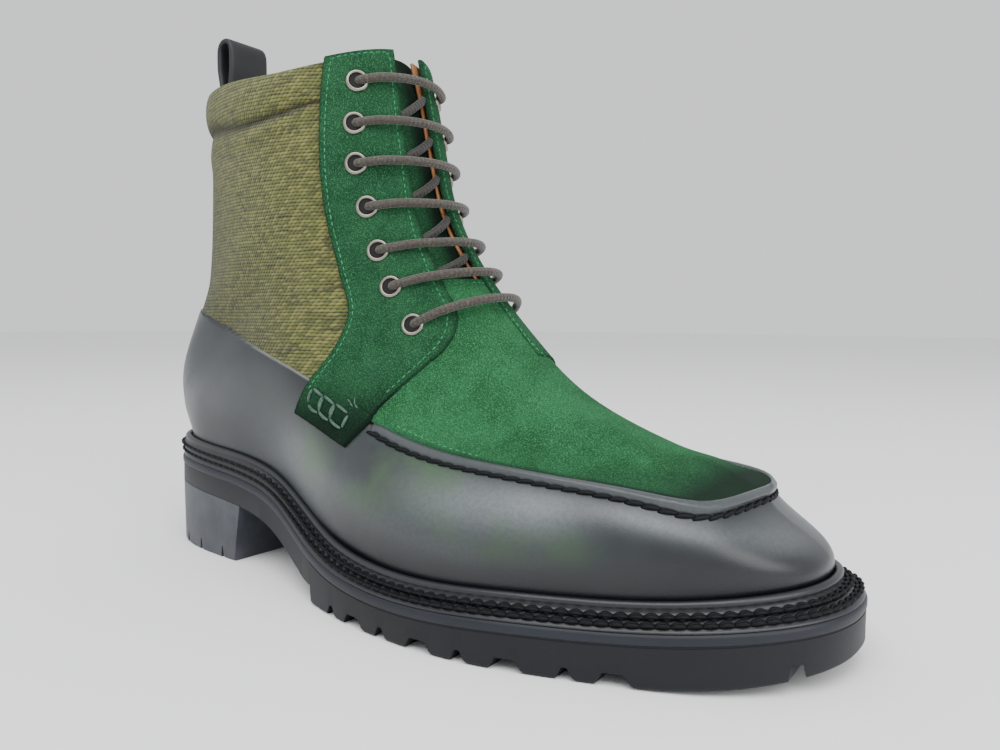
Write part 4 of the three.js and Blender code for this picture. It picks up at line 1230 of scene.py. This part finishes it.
def stacked_rings(rings, cap_low=True, cap_high=True):
    n = len(rings[0])
    points = np.vstack(rings)
    faces = []
    j = np.arange(n)
    k = (j + 1) % n
    for i in range(len(rings) - 1):
        faces.append(np.stack([i * n + j, (i + 1) * n + j, (i + 1) * n + k, i * n + k], -1))
    faces = np.vstack(faces).tolist()
    half = n // 2
    for row, flip in ((0, False), (len(rings) - 1, True)):
        if not (cap_high if flip else cap_low):
            continue
        base = row * n
        for a in range(half):
            b, c, d = a + 1, (n - a - 1) % n, (n - a) % n
            quad = [base + a, base + b, base + c, base + d]
            quad = list(dict.fromkeys(quad))
            if len(quad) > 2:
                faces.append(quad[::-1] if flip else quad)
    return points, faces


def reach_at(x):
    return REACH * reach_share(x / LENGTH + 0.5)


def depth_at(x):
    return welt_depth(x / LENGTH + 0.5)


def spring(x):
    return 7.7 * np.maximum(0, (x - along_x(0.82)) / (LENGTH * 0.208)) ** 2.4


def underside(x, z):
    share = x / LENGTH + 0.5
    return z - SOLE + TREAD * smooth(FIRST_LUG - 0.02, FIRST_LUG + 0.06, share)


def make_welt():
    """Welt with its rounded lip against the upper and the sunk shelf that carries the stitching."""
    def ring(out, drop):
        return sole_ring(out, lambda x, z: z - drop(x))

    shelf = lambda x: reach_at(x) - 0.4
    rings = [ring(reach_at, lambda x: depth_at(x)), ring(reach_at, lambda x: depth_at(x) - 0.25)]
    rings.append(ring(shelf, lambda x: depth_at(x) - 0.7))
    rings.append(ring(lambda x: LIP + 0.5, lambda x: 2.5 + 0 * x))
    rings.append(ring(lambda x: LIP - 0.4, lambda x: 1.9 + 0 * x))
    for a in np.linspace(-0.35, math.pi, 9):
        lip_out = 1.75 + 1.35 * math.cos(a)
        lip_up = 1.35 * math.sin(a)
        rings.append(ring(lambda x, out=lip_out: out, lambda x, up=lip_up: 0.25 - up + 0 * x))
    rings.append(ring(lambda x: -0.6 + 0 * x, lambda x: 1.0 + 0 * x))
    points, faces = stacked_rings(rings)
    return new_mesh("welt_strip", points, faces, LOOK["welt"], replaces=["welt"])


def make_band():
    def ring(out, drop):
        return sole_ring(lambda x: reach_at(x) + out, lambda x, z: z - depth_at(x) - drop)

    section = [
        (0.0, BAND), (0.45, BAND - 0.15), (0.6, BAND - 0.6), (0.6, 1.2), (0.35, 0.55),
        (-0.2, 0.1), (-1.4, -0.35), (-1.7, -0.2), (-2.2, 0.6),
    ]
    rings = [ring(out, drop) for out, drop in section]
    points, faces = stacked_rings(rings)
    return new_mesh("band", points, faces, LOOK["band"], replaces=["midsole"])


def prism(outline, y0, y1):
    n = len(outline)
    low = np.array([[x, y0, z] for x, z in outline])
    high = np.array([[x, y1, z] for x, z in outline])
    faces = [list(range(n)), list(range(2 * n - 1, n - 1, -1))]
    faces += [[i, n + i, n + (i + 1) % n, (i + 1) % n] for i in range(n)]
    return np.vstack([low, high]), [f[::-1] for f in faces]


def cutter(parts):
    many = Many()
    for points, faces in parts:
        many.add(points, faces)
    mesh = bpy.data.meshes.new("cutter")
    mesh.from_pydata(((np.vstack(many.points) + SHIFT) * MM).tolist(), [], many.faces)
    obj = bpy.data.objects.new("cutter", mesh)
    bpy.context.scene.collection.objects.link(obj)
    tidy(obj, 1e-7)
    return obj


def cut_away(obj, parts):
    """Each cut in turn, so that the pieces taken away may touch each other."""
    for part in parts:
        tool = cutter([part])
        modifier = obj.modifiers.new("cut", "BOOLEAN")
        modifier.operation = "DIFFERENCE"
        modifier.solver = "MANIFOLD"
        modifier.object = tool
        bpy.context.view_layer.update()
        graph = bpy.context.evaluated_depsgraph_get()
        made = bpy.data.meshes.new_from_object(obj.evaluated_get(graph))
        obj.modifiers.clear()
        old = obj.data
        obj.data = made
        bpy.data.meshes.remove(old)
        bpy.data.objects.remove(tool)


def notch(along, mouth, root, inwards, depth, floor, side):
    x = float(along_x(along))
    mouth, root = mouth / 2, root / 2
    outline = [
        (x - mouth - 0.8, floor - 2), (x + mouth + 0.8, floor - 2), (x + mouth, floor + 0.2),
        (x + root, floor + depth), (x - root, floor + depth), (x - mouth, floor + 0.2),
    ]
    s = np.linspace(0, 1, 200)
    p = edge_point(side, s)
    near = np.abs(p[:, 0] - x) < 8
    width = (side * p[near, 1]).max()
    inner = side * max(-1.0, width + float(reach_at(x)) - inwards)
    outer = side * 90
    return prism(outline, min(inner, outer), max(inner, outer))


def edged(obj, angle=35):
    """Smooth over the curves, with the sharp edges kept."""
    obj.data.shade_smooth()
    chosen = {key: [obj] for key in ("selected_objects", "selected_editable_objects")}
    chosen.update(object=obj, active_object=obj)
    with bpy.context.temp_override(**chosen):
        bpy.ops.object.shade_smooth_by_angle(angle=math.radians(angle))


def make_outsole():
    top = lambda x, z: z - depth_at(x) - BAND
    layer = [
        sole_ring(lambda x: reach_at(x) + 0.1, lambda x, z: underside(x, z)),
        sole_ring(lambda x: reach_at(x) + 0.3, lambda x, z: underside(x, z) + 0.3),
        sole_ring(lambda x: reach_at(x) + 0.2, lambda x, z: top(x, z)),
    ]
    points, faces = stacked_rings(layer)
    obj = new_mesh("outsole_layer", points, faces, LOOK["tread"], replaces=["outsole"])
    edged(obj)
    roof = lambda x, z: np.maximum(top(x, z) - 0.5, spring(x + 4) + 1.6)
    lug_rings = [
        sole_ring(lambda x: reach_at(x) - 1.0, lambda x, z: spring(x + 4)),
        sole_ring(lambda x: reach_at(x) - 0.2, lambda x, z: spring(x + 4) + 0.35),
        sole_ring(lambda x: reach_at(x) + 0.35, lambda x, z: spring(x + 4) + 1.3),
        sole_ring(lambda x: reach_at(x) + 0.35, roof),
    ]
    points, faces = stacked_rings(lug_rings)
    lugs = new_mesh("tread_lugs", points, faces, LOOK["tread"])
    first = float(along_x(FIRST_LUG))
    behind = prism([(-260, -40), (first + 4.8, -40), (first - 4.8, 40), (-260, 40)], -120, 120)
    cuts = [behind]
    for along, mouth, root, inwards in TREAD_NOTCHES:
        for side in (OUTER, INNER):
            floor = float(spring(along_x(along)))
            cuts.append(notch(along, mouth, root, inwards, TREAD - 0.6, floor, side))
    cut_away(lugs, cuts)
    edged(lugs)


def make_heel():
    rings = [
        sole_ring(lambda x: reach_at(x) - 1.2, lambda x, z: 0 * x),
        sole_ring(lambda x: reach_at(x) - 0.4, lambda x, z: 0 * x + 0.3),
        sole_ring(lambda x: reach_at(x) + 0.0, lambda x, z: 0 * x + 1.2),
        sole_ring(lambda x: reach_at(x) + 0.3, lambda x, z: underside(x, z)),
    ]
    points, faces = stacked_rings(rings)
    obj = new_mesh("heel_block", points, faces, LOOK["heel"], replaces=["heel"])
    breast = float(along_x(HEEL_BREAST)) - BREAST_SLANT
    lean = BREAST_SLANT / 26
    front = prism([(breast - 40 * lean, -40), (260, -40), (260, 60), (breast + 60 * lean, 60)], -120, 120)
    cuts = [front]
    for along in HEEL_NOTCHES:
        for side in (OUTER, INNER):
            cuts.append(notch(along, 2.2, 0.6, 9, 5, 0.0, side))
    cut_away(obj, cuts)
    edged(obj)


def make_welt_stitches():
    """Two rows of thick chain stitches on the welt's shelf."""
    many = Many()
    s = np.linspace(0, 1, 600)
    for row in range(2):
        for side in (OUTER, INNER):
            p = edge_point(side, s)
            o = edge_outwards(side, s)
            x = p[:, 0]
            inner, outer = LIP + 0.55, reach_at(x) - 0.75
            share = 0.22 if row == 0 else 0.8
            out = inner + (outer - inner) * share
            drop = 2.4 + (depth_at(x) - 0.7 - 2.4) * share
            line = p + o * out[:, None]
            line[:, 2] = p[:, 2] - drop
            line = resample(np.hstack([line, o]), 4.3)
            for i in range(len(line) - 1):
                a, b = line[i, :3], line[i + 1, :3]
                way = unit(b - a)
                flat = unit(line[i, 3:] + line[i + 1, 3:])
                up = unit(np.cross(flat, way) * -side)
                if up[2] < 0:
                    up = -up
                for skew in (-1, 1):
                    t = np.linspace(0, 1, 8)
                    centre = a[None] * (1 - t)[:, None] + b[None] * t[:, None]
                    bulge = np.sin(math.pi * t)
                    aside = flat[None] * (skew * 0.95 * bulge)[:, None]
                    path = centre + aside + up[None] * (0.2 + 0.7 * bulge)[:, None]
                    many.add(*tube(path, 0.6, 6))
    return many.make("welt_stitches", LOOK["dark_thread"])


def make_insole():
    inset = -2.7
    rings = [
        sole_ring(lambda x: 0 * x + inset, lambda x, z: z, 120),
        sole_ring(lambda x: 0 * x + inset, lambda x, z: z + 2.4, 120),
        sole_ring(lambda x: 0 * x + inset - 0.6, lambda x, z: z + 3.0, 120),
    ]
    points, faces = stacked_rings(rings)
    return new_mesh("insole_sheet", points, faces, LOOK["lining"], replaces=["insole"])


# Eyelets and lace.
def eyelet_frame(side, u, v):
    s, uu, vv = np.array([side]), np.array([u]), np.array([v])
    normal = upper_normal(s, uu, vv)[0]
    return upper_point(s, uu, vv)[0], normal


def make_eyelets():
    profile = EYELET_PROFILE
    turns = 40
    hole = Many()
    for i, (v, outer, inner) in enumerate(EYELETS):
        for side, u, word in ((OUTER, outer, "outer"), (INNER, inner, "inner")):
            seat, normal = eyelet_frame(side, u, v)
            seat = seat + normal * EYELET_SEAT
            spin = Vector((0, 0, 1)).rotation_difference(Vector(normal)).to_matrix()
            spin = np.array(spin)
            points, faces = [], []
            for k in range(turns):
                a = 2 * math.pi * k / turns
                for r, h in profile:
                    points.append(seat + spin @ np.array([r * math.cos(a), r * math.sin(a), h]))
            m = len(profile)
            for k in range(turns):
                n = (k + 1) % turns
                for j in range(m - 1):
                    faces.append((k * m + j, k * m + j + 1, n * m + j + 1, n * m + j))
            name = f"eyelet_ring_{word}_{i + 1}"
            new_mesh(name, np.array(points), faces, LOOK["metal"],
                     replaces=[f"eyelet_{word}_{i + 1}"], merge=False)
            # A dark disc inside each ring stands in for the shadow in the eyelet's opening.
            disc = [seat + spin @ np.array([HOLE_RADIUS * math.cos(a), HOLE_RADIUS * math.sin(a), 0.1])
                    for a in np.linspace(0, 2 * math.pi, 24, endpoint=False)]
            hole.add(np.array(disc), [tuple(range(24))])
    hole.make("eyelet_hole_shadows", LOOK["hole"])


def lace_mesh(name, paths, replaces=()):
    sides = 14
    points, faces, along, around, lace_shadow = [], [], [], [], []
    count = 0
    for path, under in paths:
        path = np.array(path, float)
        for _ in range(2):
            path = resample(path, 0.8)
            path[1:-1] = (path[:-2] + path[1:-1] + path[2:]) / 3
        path = resample(path, 0.7)
        ring, quads = tube(path, LACE_RADIUS, sides)
        steps = np.concatenate([[0], np.cumsum(np.linalg.norm(np.diff(path, axis=0), axis=1))])
        along.append(np.repeat(steps / 3.2, sides))
        angle = np.tile(np.arange(sides) * 3.0 / sides, len(path))
        around.append(angle)
        # Painted shadow share for each length of lace.
        lace_shadow.append(np.full(len(ring), under))
        points.append(ring)
        faces += [tuple(i + count for i in f) for f in quads]
        count += len(ring)
    obj = new_mesh(name, np.vstack(points), faces, LOOK["lace"], replaces, merge=False,
                   attributes={"along": np.concatenate(along), "around": np.concatenate(around),
                               "darkening_and_painted_shade": np.concatenate(lace_shadow)})
    return obj


def surface_at(y, v, lift):
    """Point of a rib at a given place across."""
    side = OUTER if y < upper_point(OUTER, 0.0, v)[1] else INNER
    low, high = 0.0, 0.5
    for _ in range(26):
        u = (low + high) / 2
        if side * upper_point(side, u, v)[1] < side * y:
            low = u
        else:
            high = u
    return offset_point(np.array([side]), np.array([high]), np.array([v]), np.array([lift]))[0]


def make_laces():
    paths = []
    for i, (v, outer, inner) in enumerate(EYELETS):
        near, near_n = eyelet_frame(OUTER, outer, v)
        far, far_n = eyelet_frame(INNER, inner, v)
        bar = [near + near_n * -0.6 + np.array([0, 0.6, 0]), near + near_n * 1.4]
        bar += [near + near_n * 3.6 + np.array([0, 1.6, 0])]
        for t in np.linspace(-0.72, 0.86, 22):
            u = abs(t) * (outer if t < 0 else inner)
            side = OUTER if t < 0 else INNER
            lift = 4.3 + 0.9 * math.sin(math.pi * (t + 0.8) / 1.75)
            bar.append(offset_point(np.array([side]), np.array([u]), np.array([v]), np.array([lift]))[0])
        bar += [far + far_n * 3.9, far + far_n * 1.6, far + far_n * -0.6]
        paths.append((bar, 0.0))
        if i + 1 < len(EYELETS):
            v2, outer2, _ = EYELETS[i + 1]
            y0 = throat_inner(v) * BALL + 2.5
            y1 = throat_outer(v2) * BALL - 2.5
            run = []
            for t in np.linspace(0, 1, 14):
                run.append(surface_at(y0 + (y1 - y0) * t, v + (v2 - v) * (0.12 + 0.76 * t), -0.75))
            # The inside run gets a painted shadow share of 0.7.
            paths.append((run, 0.7))
    return lace_mesh("lace_cord", paths, ["laces"])


def make_pull_loop():
    back = offset_point(np.array([OUTER]), np.array([1.0]), np.array([2.0]), np.array([0.0]))[0]
    thick = 2.3
    outside = back[0] + WALL + GAP + LOOP_INSET
    inside = outside + 2 * LOOP_THICK + 2 * GAP
    crown = LOOP_CROWN
    middle = outside - LOOP_LEAN + crown
    spring = back[2] + LOOP_HEIGHT - crown
    rise = spring - back[2]
    half = thick / 2
    path = [(outside + half, back[2] - 9), (outside + half, back[2])]
    path += [(outside - 1.9 + half, back[2] + 0.35 * rise), (middle - crown + half, back[2] + 0.65 * rise)]
    for k in range(13):
        a = math.pi - math.pi * k / 12
        path.append((middle + (crown - half) * math.cos(a), spring + (crown - half) * math.sin(a)))
    path += [(middle + crown - half, back[2] + 0.65 * rise)]
    path += [(inside + 0.55 * (middle + crown - inside) - half, back[2] + 0.35 * rise)]
    path += [(inside - half, back[2]), (inside - half, back[2] - 9)]
    line = np.array([[x, 0.0, z] for x, z in path])
    for _ in range(3):
        line = resample(line, 1.2)
        line[1:-1] = (line[:-2] + 2 * line[1:-1] + line[2:]) / 4
    tangent = unit(np.gradient(line, axis=0))
    normal = np.stack([-tangent[:, 2], 0 * tangent[:, 0], tangent[:, 0]], -1)
    section = []
    for y, h in ((-1, -0.5), (-1, 0.5), (-0.94, 0.9), (-0.8, 1), (0.8, 1), (0.94, 0.9), (1, 0.5), (1, -0.5),
                 (0.94, -0.9), (0.8, -1), (-0.8, -1), (-0.94, -0.9)):
        section.append((y * LOOP_HALF, h * thick / 2))
    rings = np.stack([line + normal * h + np.array([0, y, 0]) for y, h in section], 1)
    m = len(section)
    n = len(line)
    faces = []
    for i in range(n - 1):
        for j in range(m):
            k = (j + 1) % m
            faces.append((i * m + j, i * m + k, (i + 1) * m + k, (i + 1) * m + j))
    faces.append(tuple(range(m)))
    faces.append(tuple((n - 1) * m + j for j in range(m - 1, -1, -1)))
    points = rings.reshape(-1, 3)
    return new_mesh("pull_strap", points, faces, LOOK["strap"], replaces=["pull_loop"])


green = Many()
dark = Many()
make_apron(green)
make_quarter()
make_canvas()
make_lining()
make_stay(OUTER, "stay_outer", "eyestay_outer", green)
make_stay(INNER, "stay_inner", "eyestay_inner", green)
make_tab_stitches()
make_tongue()
make_piping(dark)
green.make("green_stitches", LOOK["green_thread"])
dark.make("apron_stitches", LOOK["dark_thread"])
make_welt()
make_band()
make_outsole()
make_heel()
make_welt_stitches()
make_insole()
make_eyelets()
make_laces()
make_pull_loop()


# Floor, light and camera.
def floor():
    mesh = bpy.data.meshes.new("floor")
    r = 6.0
    mesh.from_pydata([(-r, -r, 0), (r, -r, 0), (r, r, 0), (-r, r, 0)], [], [(0, 1, 2, 3)])
    obj = bpy.data.objects.new("floor", mesh)
    bpy.context.scene.collection.objects.link(obj)
    s = Shader("floor", "#f6f6f6", 0.9)
    mesh.materials.append(s.set(Specular_IOR_Level=0.1))


def area_light(name, place, target, size, power, colour=(1, 1, 1)):
    lamp = bpy.data.lights.new(name, "AREA")
    lamp.shape = "RECTANGLE"
    lamp.size, lamp.size_y = size
    lamp.energy = power
    lamp.color = colour
    obj = bpy.data.objects.new(name, lamp)
    obj.location = place
    way = Vector(target) - Vector(place)
    obj.rotation_euler = way.to_track_quat("-Z", "Y").to_euler()
    bpy.context.scene.collection.objects.link(obj)


def world():
    w = bpy.data.worlds.new("studio")
    bpy.context.scene.world = w
    w.use_nodes = True
    w.node_tree.nodes["Background"].inputs["Color"].default_value = (0.97, 0.98, 1, 1)
    w.node_tree.nodes["Background"].inputs["Strength"].default_value = 1.0


def camera():
    data = bpy.data.cameras.new("camera")
    data.sensor_width = 36
    data.lens = 791.63 / 1000 * 36
    obj = bpy.data.objects.new("camera", data)
    bpy.context.scene.collection.objects.link(obj)
    a, e, r = math.radians(35.23), math.radians(3.96), math.radians(0.31)
    back = Vector((math.sin(a) * math.cos(e), -math.cos(a) * math.cos(e), math.sin(e)))
    right = Vector((math.cos(a), math.sin(a), 0))
    up = back.cross(right)
    x = math.cos(r) * right + math.sin(r) * up
    y = -math.sin(r) * right + math.cos(r) * up
    turn = Matrix((x, y, back)).transposed().to_4x4()
    obj.matrix_world = Matrix.Translation((0.19458, -0.23698, 0.10236)) @ turn
    bpy.context.scene.camera = obj


floor()
world()
area_light("key", (0.35, -0.75, 1.35), (0, 0, 0.08), (1.4, 1.0), 22)
area_light("side", (1.35, -0.25, 0.75), (0.05, 0, 0.06), (0.9, 0.9), 11)
area_light("fill", (-1.0, -1.1, 0.7), (0, 0, 0.1), (0.9, 0.9), 1.5)
camera()
